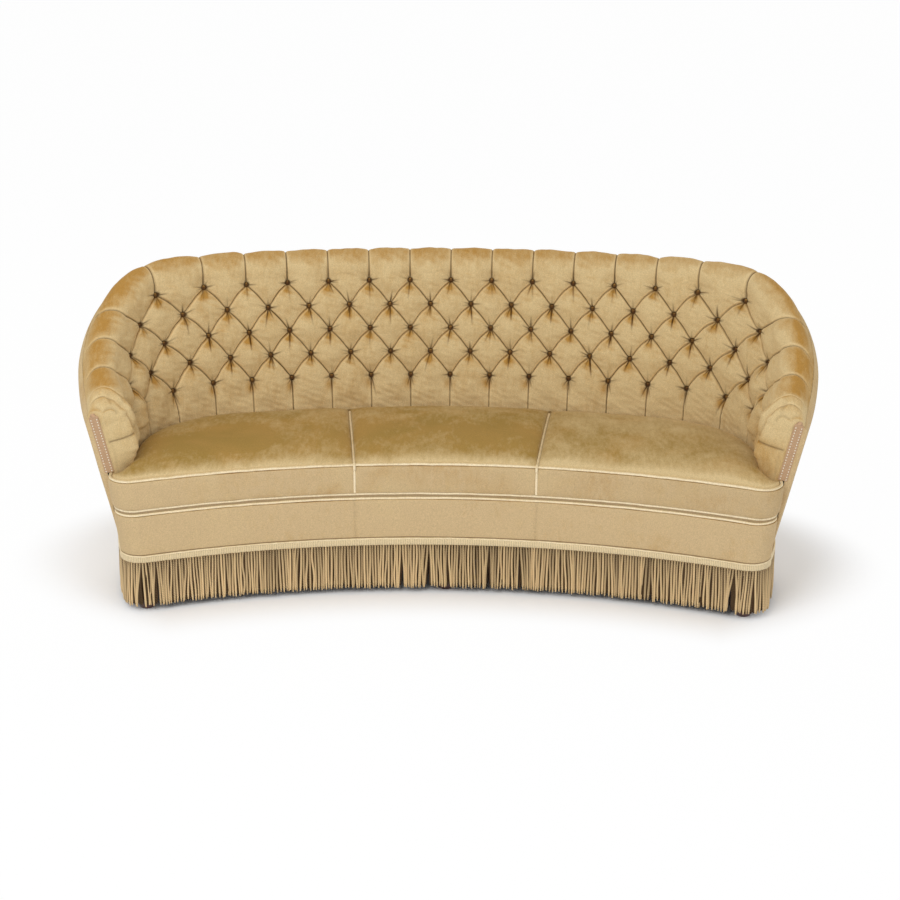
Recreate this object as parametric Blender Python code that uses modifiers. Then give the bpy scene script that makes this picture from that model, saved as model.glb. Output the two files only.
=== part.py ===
"""Curved three-seat sofa with a deep-buttoned back and a bullion fringe, as its separate pieces."""
import math

import bmesh
import bpy
from mathutils import Vector

# Clearances
GAP = 0.0003
ROLL_GAP = 0.0008
SLOPE_CLEARANCE = 0.0012
DOWEL_CLEARANCE = 0.0003
SEAT_CLEARANCE = 0.0009

# Plan: the line of the back buttons is a wide arc, two corner arcs and two straight arms
BACK_RADIUS = 2.50
BACK_HALF_WIDTH = 0.68
CORNER_RADIUS = 0.37
SEAT_DEPTH = 0.545
FRONT_RADIUS = 2.35
FRONT_CORNER_RADIUS = 0.06
ARM_SETBACK = 0.0013
ARM_TAPER = 0.035
FRONT_FLARE = 0.022
CENTRE_Y = 0.252056

# Wall section: both faces lean outward
WALL_LEAN = math.radians(12.0)
WALL_THICKNESS = 0.088
WALL_LINE_HEIGHT = 0.63
PAD_THICKNESS = 0.022
LINING_THICKNESS = 0.002
PANEL_THICKNESS = 0.010
SEAM_ANGLE = math.radians(120.0)
PANEL_ROLL_STEPS = 2
PANEL_LEDGE_DROP = 0.010

# Heights
BACK_RIM_HEIGHT = 0.865
ARM_RIM_HEIGHT = 0.600
RIM_FALL_START = 0.84
RIM_FALL_END = 1.42
PAD_RISE = 0.045
RAIL_BOTTOM_HEIGHT = 0.100
RAIL_HEIGHT = 0.200
SEAT_EDGE_HEIGHT = 0.393
PANEL_BOTTOM_HEIGHT = 0.150
FRINGE_BOTTOM_HEIGHT = 0.012

# Deep buttoning
BUTTON_PITCH = 0.1225
TOP_ROW_DROP = 0.021
LOWEST_BUTTON_HEIGHT = 0.489
TUFT_DEPTH = 0.030
BUTTON_RADIUS = 0.011
BUTTON_LIFT = 0.0115
BUTTON_ROWS = 5
FIELD_END_COLUMN = 9
JOIN_COLUMN = 4
PLEAT_LIFT_LENGTH = 0.07
PLEAT_LIFT_SHARE = 0.62
RIDGE_SHARE = 0.42
CROSSING_SHARE = 0.16
RIDGE_POWER = 0.75
PLEAT_SPREAD_SHARE = 0.5
TUCK_LOW_SHARE = 0.3
LOWER_ROW_SHARES = (0.0, 0.4, 0.72)
ROLL_ROWS = 4
ROW_SQUEEZE = 0.004
ZIGZAG_STEPS = (0, 1, 2, 1)

# Arm front
NOSE_LENGTH = 0.085
NOSE_STEPS = 4
NOSE_END_WIDTH = 0.040
STRIP_WIDTH = 0.026
STRIP_THICKNESS = 0.004
STRIP_TOP_STEPS = 4

# Seat
SEAM_HALF_WIDTH = 0.255
SEAT_CROWN = 0.034
SEAT_SEAM_DIP = 0.010
BORDER_THICKNESS = 0.010
WELT_RADIUS = 0.005
SEAT_COLUMNS = 10
CROWN_EDGE_POWER = 3
ARM_PULL_POWER = 3
CROWN_POWER = 0.6
SEAM_CROWN_SHARE = 0.5
SEATS = (("left", -1), ("centre", 0), ("right", 1))

# Frame
RAIL_THICKNESS = 0.045
FOOT_RAIL_SHARE = 0.6
BEARER_THICKNESS = 0.030
TOP_RAIL_DEPTH = 0.050
BLOCK_LENGTH = 0.110
BACK_POST_SHARES = (-0.9, -0.45, 0.0, 0.45, 0.9)
CORNER_POST_SHARE = 0.6

# Feet
FOOT_RADIUS = 0.031
FOOT_NECK_RADIUS = 0.018
FOOT_BASE_RADIUS = 0.020
DOWEL_RADIUS = 0.007
DOWEL_LENGTH = 0.045
FRONT_FOOT_OFFSET = 0.84
REAR_FOOT_STATION = 0.86
COLLAR_SHARE = 0.2
COLLAR_UPPER_SHARE = 0.2
COLLAR_LOWER_SHARE = 0.6
BUN_MIDDLE_SHARE = 0.52
BUN_SWEEP = math.radians(144.0)
BUN_STEPS = 6

# Fringe
HEADER_HEIGHT = 0.022
HEADER_THICKNESS = 0.005
FRINGE_THICKNESS = 0.005
FRINGE_WAVE = 0.0035
FRINGE_WAVE_LENGTH = 0.11

# Suspension
WEB_THICKNESS = 0.002
WEB_LIFT = 0.004
SPRING_WIRE_RADIUS = 0.0022
SPRING_END_RADIUS = 0.048
SPRING_WAIST_RADIUS = 0.028
SPRING_TURNS = 3
SPRING_TURN_POINTS = 8
DUST_COVER_THICKNESS = 0.0015
WEB_COLUMNS = 7
WEB_ROWS = 5
SPRING_COLUMN_SHARES = (0.3, 0.6)
SPRING_ROW_SHARE = 0.4
SPRING_FLAT_SHARE = 0.12

# Round work
STATION_STEP = BUTTON_PITCH / 4
FRONT_STEPS = 24
CORNER_STEPS = 6
TURN_SEGMENTS = 12
MERGE_SHARE = 0.125
MERGE_DISTANCE = 0.0001
WAVE_SAMPLES = 4
CUT_OVERRUN = 0.01
SHARP_ANGLE = math.radians(40.0)
WELT_BEVEL_STEPS = 2
WIRE_BEVEL_STEPS = 1

# Worked out from the sizes above
LEAN = math.tan(WALL_LEAN)
BACK_TURN = math.asin(BACK_HALF_WIDTH / BACK_RADIUS)
BACK_LENGTH = BACK_RADIUS * BACK_TURN
CORNER_LENGTH = CORNER_RADIUS * (math.pi / 2 - BACK_TURN)
CORNER_X = (BACK_RADIUS - CORNER_RADIUS) * math.sin(BACK_TURN)
CORNER_Y = SEAT_DEPTH - BACK_RADIUS + (BACK_RADIUS - CORNER_RADIUS) * math.cos(BACK_TURN)
ARM_X = CORNER_X + CORNER_RADIUS
JOINT = math.floor(BACK_LENGTH / STATION_STEP) * STATION_STEP
ROLL_RADIUS = WALL_THICKNESS * math.cos(WALL_LEAN) / 2
RAIL_TOP_HEIGHT = RAIL_BOTTOM_HEIGHT + RAIL_HEIGHT
PAD_BOTTOM_HEIGHT = RAIL_TOP_HEIGHT + PAD_RISE
HEADER_TOP_HEIGHT = PANEL_BOTTOM_HEIGHT + HEADER_HEIGHT
BASE_OFFSET = WALL_THICKNESS + (HEADER_TOP_HEIGHT - WALL_LINE_HEIGHT) * LEAN + GAP
ARM_FRONT_X = ARM_X - ARM_TAPER
SIDE_X = ARM_FRONT_X + BASE_OFFSET
FRONT_CORNER_X = SIDE_X - FRONT_CORNER_RADIUS
FRONT_CORNER_Y = math.sqrt((FRONT_RADIUS + FRONT_CORNER_RADIUS) ** 2 - FRONT_CORNER_X ** 2) - FRONT_RADIUS
ARM_FRONT_Y = FRONT_CORNER_Y + ARM_SETBACK
ARM_LENGTH = CORNER_Y - ARM_FRONT_Y
LINE_END = BACK_LENGTH + CORNER_LENGTH + ARM_LENGTH
NOSE_START = LINE_END - NOSE_LENGTH
SEAT_END = math.floor(NOSE_START / STATION_STEP) * STATION_STEP
SEAT_ROWS = NOSE_STEPS + 2
PANEL_FOOT_OFFSET = WALL_THICKNESS + (PANEL_BOTTOM_HEIGHT - WALL_LINE_HEIGHT) * LEAN
RAIL_INSET = BASE_OFFSET - PANEL_FOOT_OFFSET + PANEL_THICKNESS + GAP
WELT_INSET = BORDER_THICKNESS - WELT_RADIUS
BORDER_WELT_HEIGHT = RAIL_TOP_HEIGHT + WELT_RADIUS + 4 * GAP
APRON_WELT_HEIGHT = BORDER_WELT_HEIGHT - 3 * WELT_RADIUS
SEAT_BOTTOM_HEIGHT = RAIL_TOP_HEIGHT + GAP
BORDER_TOP_HEIGHT = SEAT_EDGE_HEIGHT - WELT_RADIUS
SEAM_TURN = math.asin(SEAM_HALF_WIDTH / FRONT_RADIUS)
HIGHEST_ROW = BUTTON_ROWS - 1
TOP_ROW_HEIGHT = BACK_RIM_HEIGHT - ROLL_RADIUS - TUFT_DEPTH - TOP_ROW_DROP
BUTTON_ROW_SPACING = (TOP_ROW_HEIGHT - LOWEST_BUTTON_HEIGHT) / HIGHEST_ROW
FACE_ROWS = 2 * HIGHEST_ROW + 1
LEDGE_HEIGHT = PAD_BOTTOM_HEIGHT - PAD_THICKNESS * math.sin(WALL_LEAN) - ROLL_GAP
LINING_DEPTH = PAD_THICKNESS + GAP
FRAME_DEPTH = LINING_DEPTH + LINING_THICKNESS + GAP
FRAME_REAR_DEPTH = 2 * ROLL_RADIUS - PANEL_THICKNESS - GAP
FRONT_RAIL_FACE = BORDER_THICKNESS + GAP
REAR_RAIL_OFFSET = BASE_OFFSET - RAIL_INSET
RAIL_INNER_OFFSET = REAR_RAIL_OFFSET - RAIL_THICKNESS - GAP

# Colours of the photograph, linear
VELOUR = (0.42, 0.31, 0.16)
VELOUR_LIGHT = (0.55, 0.43, 0.27)
GIMP = (0.62, 0.42, 0.33)
FRINGE_THREAD = (0.66, 0.52, 0.31)
STAINED_WOOD = (0.055, 0.018, 0.012)
FRAME_WOOD = (0.46, 0.30, 0.16)
HESSIAN = (0.40, 0.29, 0.16)
DUST_CLOTH = (0.03, 0.025, 0.03)
SPRING_STEEL = (0.30, 0.30, 0.31)


def clear_scene():
    for old in list(bpy.data.objects):
        bpy.data.objects.remove(old, do_unlink=True)


def new_collection(name):
    group = bpy.data.collections.new(name)
    bpy.context.scene.collection.children.link(group)
    return group


def material(name, colour, roughness, metallic=0.0):
    made = bpy.data.materials.get(name)
    if made is None:
        made = bpy.data.materials.new(name)
        made.use_nodes = True
        shader = made.node_tree.nodes["Principled BSDF"]
        shader.inputs["Base Color"].default_value = (*colour, 1.0)
        shader.inputs["Roughness"].default_value = roughness
        shader.inputs["Metallic"].default_value = metallic
    return made


def smooth(share):
    share = min(1.0, max(0.0, share))
    return share * share * (3.0 - 2.0 * share)


def line_point(station, offset):
    """Point in plan, offset outward from the button line at a station along it."""
    side = math.copysign(1.0, station)
    run = abs(station)
    if run <= BACK_LENGTH:
        turn = run / BACK_RADIUS
        reach = BACK_RADIUS + offset
        x = reach * math.sin(turn)
        y = SEAT_DEPTH - BACK_RADIUS + reach * math.cos(turn)
    elif run <= BACK_LENGTH + CORNER_LENGTH:
        turn = BACK_TURN + (run - BACK_LENGTH) / CORNER_RADIUS
        reach = CORNER_RADIUS + offset
        x = CORNER_X + reach * math.sin(turn)
        y = CORNER_Y + reach * math.cos(turn)
    else:
        run -= BACK_LENGTH + CORNER_LENGTH
        x = ARM_X - ARM_TAPER * (run / ARM_LENGTH) ** 2 + offset
        y = CORNER_Y - run
    return side * x, y


def place(station, offset, height):
    x, y = line_point(station, offset)
    return Vector((x, y, height))


def face_offset(height):
    return (height - WALL_LINE_HEIGHT) * LEAN


def rim_height(station):
    fall = smooth((abs(station) - RIM_FALL_START) / (RIM_FALL_END - RIM_FALL_START))
    return BACK_RIM_HEIGHT + (ARM_RIM_HEIGHT - BACK_RIM_HEIGHT) * fall


def roll_height(station):
    return rim_height(station) - ROLL_RADIUS - TUFT_DEPTH


def wall_share(station):
    """Share of the full wall thickness left at a station: less than 1 in the rounded arm front."""
    run = abs(station) - NOSE_START
    if run <= 0.0:
        return 1.0
    least = NOSE_END_WIDTH / (2 * ROLL_RADIUS)
    sweep = min(1.0, run / NOSE_LENGTH) * math.sqrt(1.0 - least * least)
    return math.sqrt(1.0 - sweep * sweep)


def section_point(station, inward, up):
    """Point in the leaning wall section, measured from the centre of the rolled rim."""
    centre = face_offset(roll_height(station)) + WALL_THICKNESS
    centre -= ROLL_RADIUS * wall_share(station) / math.cos(WALL_LEAN)
    offset = centre - inward * math.cos(WALL_LEAN) + up * math.sin(WALL_LEAN)
    height = roll_height(station) + inward * math.sin(WALL_LEAN) + up * math.cos(WALL_LEAN)
    return place(station, offset, height)


def tuft_height(station, height):
    """Height of the stuffing over the buttons: diamonds inside the field, pleats beyond it."""
    column = abs(station) / BUTTON_PITCH
    row = (height - LOWEST_BUTTON_HEIGHT) / BUTTON_ROW_SPACING
    inside = min(float(HIGHEST_ROW), max(0.0, row))
    rising = column + inside / 2
    falling = column - inside / 2
    beyond = max(0.0, rising - FIELD_END_COLUMN)
    spread = min(beyond, PLEAT_SPREAD_SHARE) if beyond > 0.0 else rising
    rise = abs(math.sin(math.pi * spread)) ** RIDGE_POWER
    fall = abs(math.sin(math.pi * falling)) ** RIDGE_POWER
    swell = RIDGE_SHARE * (rise + fall) + CROSSING_SHARE * rise * fall
    away = abs(row - inside) * BUTTON_ROW_SPACING / PLEAT_LIFT_LENGTH
    lift = PLEAT_LIFT_SHARE * smooth(max(away, beyond))
    climb = (height - PAD_BOTTOM_HEIGHT) / (LOWEST_BUTTON_HEIGHT - PAD_BOTTOM_HEIGHT)
    tuck = TUCK_LOW_SHARE + (1.0 - TUCK_LOW_SHARE) * smooth(climb)
    nose = smooth((wall_share(station) - wall_share(LINE_END)) / (1.0 - wall_share(LINE_END)))
    return TUFT_DEPTH * (lift + (1.0 - lift) * swell) * tuck * nose


def stations(first, last, fine=True):
    """Stations along the button line, on the same grid for every piece of the wall."""
    step = STATION_STEP
    margin = step * MERGE_SHARE
    marks = [first, last]
    count = math.ceil(LINE_END / step)
    for index in range(-count, count + 1):
        mark = index * step
        wide = not fine and index % 2 and abs(mark) < BACK_LENGTH - step
        if first + margin < mark < last - margin and abs(mark) < NOSE_START and not wide:
            marks.append(mark)
    for index in range(NOSE_STEPS):
        mark = NOSE_START + NOSE_LENGTH * math.sin(math.pi / 2 * index / NOSE_STEPS)
        for signed in (-mark, mark):
            if first + margin < signed < last - margin:
                marks.append(signed)
    return sorted(marks)


def front_flare(height):
    """Distance by which the front's sides stand out at a height, over the apron's foot."""
    share = (height - PANEL_BOTTOM_HEIGHT) / (SEAT_EDGE_HEIGHT - PANEL_BOTTOM_HEIGHT)
    return FRONT_FLARE * min(1.0, max(0.0, share))


def front_line(inset, height=PANEL_BOTTOM_HEIGHT):
    """Front outline in plan from the left arm front to the right one, inset from the apron's face."""
    corner = FRONT_CORNER_RADIUS - inset
    radius = FRONT_RADIUS + inset
    reach = FRONT_RADIUS + FRONT_CORNER_RADIUS
    corner_x = FRONT_CORNER_X + front_flare(height)
    corner_y = math.sqrt(reach * reach - corner_x * corner_x) - FRONT_RADIUS
    front_turn = math.asin(corner_x / reach)
    half = []
    for index in range(FRONT_STEPS // 2 + 1):
        turn = front_turn * index / (FRONT_STEPS // 2)
        half.append((radius * math.sin(turn), radius * math.cos(turn) - FRONT_RADIUS))
    sweep = math.pi / 2 + front_turn
    for index in range(1, CORNER_STEPS + 1):
        turn = sweep * index / CORNER_STEPS - math.pi / 2 - front_turn
        half.append((corner_x + corner * math.cos(turn), corner_y + corner * math.sin(turn)))
    half.append((corner_x + corner, ARM_FRONT_Y - GAP))
    return [(-x, y) for x, y in reversed(half[1:])] + half


def add_object(name, data, finish, group):
    made = bpy.data.objects.new(name, data)
    made.data.materials.append(finish)
    group.objects.link(made)
    return made


def mesh_from(name, bm):
    bmesh.ops.recalc_face_normals(bm, faces=bm.faces)
    mesh = bpy.data.meshes.new(name)
    bm.to_mesh(mesh)
    bm.free()
    mesh.shade_smooth()
    mesh.set_sharp_from_angle(angle=SHARP_ANGLE)
    return mesh


def loft(name, sections, finish, group):
    """Closed solid through a row of like sections, each a ring of points."""
    bm = bmesh.new()
    rings = [[bm.verts.new(point) for point in section] for section in sections]
    size = len(rings[0])
    for near, far in zip(rings, rings[1:]):
        for index in range(size):
            following = (index + 1) % size
            bm.faces.new((near[index], near[following], far[following], far[index]))
    bm.faces.new(list(reversed(rings[0])))
    bm.faces.new(rings[-1])
    return add_object(name, mesh_from(name, bm), finish, group)


def ribbon(name, outer, inner, low, high, finish, group):
    """Upright band between two outlines in plan."""
    sections = []
    for (ox, oy), (ix, iy) in zip(outer, inner):
        sections.append([(ox, oy, low), (ox, oy, high), (ix, iy, high), (ix, iy, low)])
    return loft(name, sections, finish, group)


def front_panel(name, outer, inner, low, high, finish, group):
    """Band across the front of the sofa between two insets; its sides flare with their height."""
    corners = ((outer, low), (outer, high), (inner, high), (inner, low))
    outlines = [[(x, y, height) for x, y in front_line(inset, height)] for inset, height in corners]
    return loft(name, list(zip(*outlines)), finish, group)


def wall_band(name, marks, outer, inner, low, high, finish, group):
    """Upright band that follows the button line between two offsets from it."""
    outside = [line_point(mark, outer) for mark in marks]
    inside = [line_point(mark, inner) for mark in marks]
    return ribbon(name, outside, inside, low, high, finish, group)


def tube(name, points, radius, bevel_steps, finish, group):
    """Round piping or wire along an open run of points."""
    curve = bpy.data.curves.new(name, "CURVE")
    curve.dimensions = "3D"
    curve.bevel_depth = radius
    curve.bevel_resolution = bevel_steps
    curve.use_fill_caps = True
    curve.render_resolution_u = 0
    spline = curve.splines.new("POLY")
    spline.use_smooth = True
    spline.points.add(len(points) - 1)
    for target, point in zip(spline.points, points):
        target.co = (*point, 1.0)
    return add_object(name, curve, finish, group)


def cut(target, cutter):
    modifier = target.modifiers.new("cut_" + cutter.name, "BOOLEAN")
    modifier.operation = "DIFFERENCE"
    modifier.object = cutter


def cylinder_cutter(name, radius, low, high, x, y, group):
    bm = bmesh.new()
    bmesh.ops.create_cone(bm, cap_ends=True, segments=TURN_SEGMENTS, radius1=radius, radius2=radius,
                          depth=high - low)
    made = bpy.data.objects.new(name, mesh_from(name, bm))
    made.location = (x, y, (low + high) / 2)
    made.hide_render = True
    made.display_type = "WIRE"
    group.objects.link(made)
    return made


def face_point(station, height, depth):
    """Point at a height of the leaning face: depth is measured outward, behind the button line."""
    thinned = WALL_THICKNESS * (1.0 - wall_share(station))
    offset = face_offset(height) + thinned + depth * math.cos(WALL_LEAN)
    return place(station, offset, height - depth * math.sin(WALL_LEAN))


def foot_of_face(station, height, depth):
    """Point level with a height, a depth behind the leaning face."""
    thinned = WALL_THICKNESS * (1.0 - wall_share(station))
    return place(station, face_offset(height) + thinned + depth / math.cos(WALL_LEAN), height)


def pad_front(station):
    """Points of the tufted face from the seat, up the back and over the roll to the seam."""
    top = roll_height(station)
    lower_span = LOWEST_BUTTON_HEIGHT - PAD_BOTTOM_HEIGHT
    heights = [PAD_BOTTOM_HEIGHT + lower_span * share for share in LOWER_ROW_SHARES]
    heights += [LOWEST_BUTTON_HEIGHT + BUTTON_ROW_SPACING / 2 * row for row in range(FACE_ROWS)]
    points = []
    for row, height in enumerate(heights):
        height = min(height, top - ROW_SQUEEZE * (len(heights) - row))
        points.append(face_point(station, height, -tuft_height(station, height)))
    for step in range(ROLL_ROWS):
        turn = SEAM_ANGLE * step / (ROLL_ROWS - 1)
        drawn = 1.0 - smooth((turn / SEAM_ANGLE - 0.5) * 2)
        swell = tuft_height(station, top + turn * ROLL_RADIUS) * drawn
        reach = ROLL_RADIUS * wall_share(station) + swell
        points.append(section_point(station, reach * math.cos(turn), reach * math.sin(turn)))
    return points


def pad_rear(station):
    """Points of the pad's hidden side: down the lining, and flat on the top rail."""
    share = wall_share(station)
    depth = PAD_THICKNESS * share
    core = ROLL_RADIUS * share
    return [
        face_point(station, PAD_BOTTOM_HEIGHT, depth),
        section_point(station, core - depth, ROLL_GAP),
        section_point(station, core * math.cos(SEAM_ANGLE), ROLL_GAP),
    ]


def zigzag(row):
    """Columns by which the hidden join steps aside at a row, along the pleats of the diamonds."""
    step = row - len(LOWER_ROW_SHARES)
    if step < 0 or step >= FACE_ROWS:
        return 0
    return ZIGZAG_STEPS[step % len(ZIGZAG_STEPS)]


def is_button(column, step):
    """Whether a column and a half row of the pad's grid meet at a button of the staggered field."""
    on_row = 0 <= step < FACE_ROWS and step % 2 == 0
    in_field = (abs(column) + step) / 4 <= FIELD_END_COLUMN
    return on_row and in_field and (column - step) % 4 == 0


def set_button(vert, fronts, peak):
    """Covered button, made at the bottom of its dimple as a small dome inside a ring of points."""
    faces = list(vert.link_faces)
    ring = set()
    for edge in list(vert.link_edges):
        if edge.other_vert(vert) in fronts:
            _, point = bmesh.utils.edge_split(edge, vert, BUTTON_RADIUS / edge.calc_length())
            ring.add(point)
    for face in faces:
        ends = [corner for corner in face.verts if corner in ring]
        if len(ends) == 1:
            ends += [corner for corner in face.verts if corner not in ring and corner not in fronts]
        if len(ends) == 2:
            bmesh.utils.face_split(face, ends[0], ends[1])
    vert.co = peak


def tufted_pad(name, first, last, marks, finish, group):
    """One length of the buttoned inside back; its ends follow the pleats where it joins the next."""
    bm = bmesh.new()
    fronts = {}
    rears = {}
    rows = len(LOWER_ROW_SHARES) + FACE_ROWS + ROLL_ROWS
    zero = marks.index(0.0)
    low_join = zero + first if first is not None else 0
    high_join = zero + last if last is not None else len(marks) - 1
    low_sign = 0 if first is None else (-1 if first < 0 else 1)
    high_sign = 0 if last is None else (-1 if last < 0 else 1)

    def ends(row):
        return low_join + low_sign * zigzag(row), high_join + high_sign * zigzag(row)

    def mark_of(column, row):
        low, high = ends(row)
        if column == low and low_sign:
            return marks[column] + GAP / 2
        if column == high and high_sign:
            return marks[column] - GAP / 2
        return marks[column]

    def front(column, row):
        if (column, row) not in fronts:
            fronts[column, row] = bm.verts.new(pad_front(mark_of(column, row))[row])
        return fronts[column, row]

    def rear(column, level):
        if (column, level) not in rears:
            mark = marks[column]
            if column == low_join and low_sign:
                mark += GAP / 2
            if column == high_join and high_sign:
                mark -= GAP / 2
            rears[column, level] = bm.verts.new(pad_rear(mark)[level])
        return rears[column, level]

    for row in range(rows - 1):
        low_near, high_near = ends(row)
        low_far, high_far = ends(row + 1)
        for column in range(max(low_near, low_far), min(high_near, high_far)):
            corners = (front(column, row), front(column + 1, row),
                       front(column + 1, row + 1), front(column, row + 1))
            if (column - zero - row + len(LOWER_ROW_SHARES)) % 2 == 0:
                bm.faces.new((corners[0], corners[1], corners[2]))
                bm.faces.new((corners[0], corners[2], corners[3]))
            else:
                bm.faces.new((corners[0], corners[1], corners[3]))
                bm.faces.new((corners[1], corners[2], corners[3]))
        for near, far, side in ((low_near, low_far, 1), (high_near, high_far, -1)):
            if near != far:
                inner = max(near, far) if side > 0 else min(near, far)
                outer = near + far - inner
                outer_row = row if near == outer else row + 1
                bm.faces.new((front(inner, row), front(inner, row + 1), front(outer, outer_row)))
    seam_row = rows - 1
    corner_row = rows - ROLL_ROWS
    for column in range(low_join, high_join):
        bm.faces.new((rear(column, 0), rear(column + 1, 0), rear(column + 1, 1), rear(column, 1)))
        bm.faces.new((rear(column, 1), rear(column + 1, 1), rear(column + 1, 2), rear(column, 2)))
        bm.faces.new((front(column, 0), front(column + 1, 0), rear(column + 1, 0), rear(column, 0)))
        bm.faces.new((front(column, seam_row), front(column + 1, seam_row),
                      rear(column + 1, 2), rear(column, 2)))
    for column, side in ((low_join, 0), (high_join, 1)):
        middle = rows // 3
        for row in range(corner_row):
            pivot = rear(column, 0 if row < middle else 1)
            bm.faces.new((front(ends(row)[side], row), front(ends(row + 1)[side], row + 1), pivot))
        bm.faces.new((front(ends(middle)[side], middle), rear(column, 0), rear(column, 1)))
        for row in range(corner_row, seam_row):
            pivot = rear(column, 1 if row < corner_row + 1 else 2)
            bm.faces.new((front(column, row), front(column, row + 1), pivot))
        bm.faces.new((front(column, corner_row + 1), rear(column, 1), rear(column, 2)))
    face_verts = set(fronts.values())
    for (column, row), vert in fronts.items():
        step = row - len(LOWER_ROW_SHARES)
        if is_button(column - zero, step):
            height = LOWEST_BUTTON_HEIGHT + BUTTON_ROW_SPACING / 2 * step
            set_button(vert, face_verts, face_point(mark_of(column, row), height, -BUTTON_LIFT))
    return add_object(name, mesh_from(name, bm), finish, group)


def leaning_sections(marks, front_depth, rear_depth, low, rise):
    """Sections of a leaning board behind the tufted face, from a level foot to a line below the roll."""
    sections = []
    for mark in marks:
        core = ROLL_RADIUS * wall_share(mark)
        sections.append([
            foot_of_face(mark, low, front_depth),
            section_point(mark, core - front_depth, rise),
            section_point(mark, core - rear_depth, rise),
            foot_of_face(mark, low, rear_depth),
        ])
    return sections


def back_lining(finish, group):
    """Hessian stretched over the frame, which the tufted pads are built on."""
    marks = stations(-NOSE_START, NOSE_START, fine=False)
    rear = LINING_DEPTH + LINING_THICKNESS
    sections = leaning_sections(marks, LINING_DEPTH, rear, PAD_BOTTOM_HEIGHT, 0.0)
    return loft("back_lining", sections, finish, group)


def top_rail(name, first, last, finish, group):
    sections = []
    for mark in stations(first, last, fine=False):
        front = ROLL_RADIUS - FRAME_DEPTH
        rear = ROLL_RADIUS - FRAME_REAR_DEPTH
        sections.append([
            section_point(mark, front, -TOP_RAIL_DEPTH),
            section_point(mark, front, 0.0),
            section_point(mark, rear, 0.0),
            section_point(mark, rear, -TOP_RAIL_DEPTH),
        ])
    return loft(name, sections, finish, group)


def post(name, step, finish, group):
    """Upright between the seat rail and the rim rail, three stations wide."""
    marks = [(step + offset) * STATION_STEP for offset in (-1, 0, 1)]
    sections = leaning_sections(marks, FRAME_DEPTH, FRAME_REAR_DEPTH, RAIL_TOP_HEIGHT + GAP,
                                -TOP_RAIL_DEPTH - SLOPE_CLEARANCE)
    return loft(name, sections, finish, group)


def outside_panel(name, first, last, finish, group):
    """Smooth outside cover on its board, from the seam on the roll down to the header.

    At an arm front the board thickens inward and closes the gap beside the rail.
    """
    sections = []
    for mark in stations(first, last):
        core = ROLL_RADIUS * wall_share(mark)
        seam = core * math.cos(SEAM_ANGLE) - GAP
        points = [section_point(mark, seam, core * math.sin(SEAM_ANGLE))]
        for step in range(1, PANEL_ROLL_STEPS + 1):
            turn = SEAM_ANGLE + (math.pi - SEAM_ANGLE) * step / PANEL_ROLL_STEPS
            points.append(section_point(mark, core * math.cos(turn), core * math.sin(turn)))
        points.append(foot_of_face(mark, PANEL_BOTTOM_HEIGHT, 2 * core))
        points.append(foot_of_face(mark, PANEL_BOTTOM_HEIGHT, 2 * core - PANEL_THICKNESS))
        ledge = foot_of_face(mark, LEDGE_HEIGHT, 2 * core - PANEL_THICKNESS)
        if abs(mark) == LINE_END:
            points.append(place(mark, BASE_OFFSET - BORDER_THICKNESS, LEDGE_HEIGHT))
        else:
            points.append(foot_of_face(mark, LEDGE_HEIGHT - PANEL_LEDGE_DROP, 2 * core - PANEL_THICKNESS))
        points.append(ledge)
        points.append(section_point(mark, PANEL_THICKNESS - core, ROLL_GAP))
        points.append(section_point(mark, seam, ROLL_GAP))
        sections.append(points)
    return loft(name, sections, finish, group)


def gimp_strip(name, side, finish, group):
    """Facing strip up the front of an arm, where the inside and outside covers meet."""
    mark = side * LINE_END
    half = STRIP_WIDTH / 2
    middle = NOSE_END_WIDTH / 2 - half
    foot_height = SEAT_EDGE_HEIGHT + 3 * WELT_RADIUS
    rows = [foot_of_face(mark, foot_height, 0.0), foot_of_face(mark, foot_height, STRIP_WIDTH)]
    for step in range(STRIP_TOP_STEPS + 1):
        turn = math.pi * step / STRIP_TOP_STEPS
        rows.append(section_point(mark, middle - half * math.cos(turn), half * math.sin(turn)))
    near = [Vector((point.x, ARM_FRONT_Y - GAP, point.z)) for point in rows]
    far = [Vector((point.x, ARM_FRONT_Y - GAP - STRIP_THICKNESS, point.z)) for point in rows]
    return loft(name, [near, far], finish, group)


def along(points, share):
    """Point at a share of the length of a line of points in plan."""
    lengths = [math.dist(near, far) for near, far in zip(points, points[1:])]
    target = share * sum(lengths)
    for near, far, length in zip(points, points[1:], lengths):
        if target <= length:
            part = target / length
            return near[0] + (far[0] - near[0]) * part, near[1] + (far[1] - near[1]) * part
        target -= length
    return points[-1]


def back_reach(turn, offset):
    """Distance from the front arc's centre to the back arc, in a direction in plan."""
    shift = SEAT_DEPTH - BACK_RADIUS + FRONT_RADIUS
    radius = BACK_RADIUS + offset
    return shift * math.cos(turn) + math.sqrt(radius * radius - (shift * math.sin(turn)) ** 2)


def seam_turn(side, inset_width, reach):
    return side * (SEAM_TURN - inset_width / reach)


def front_reach_point(turn, reach):
    return reach * math.sin(turn), reach * math.cos(turn) - FRONT_RADIUS


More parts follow.
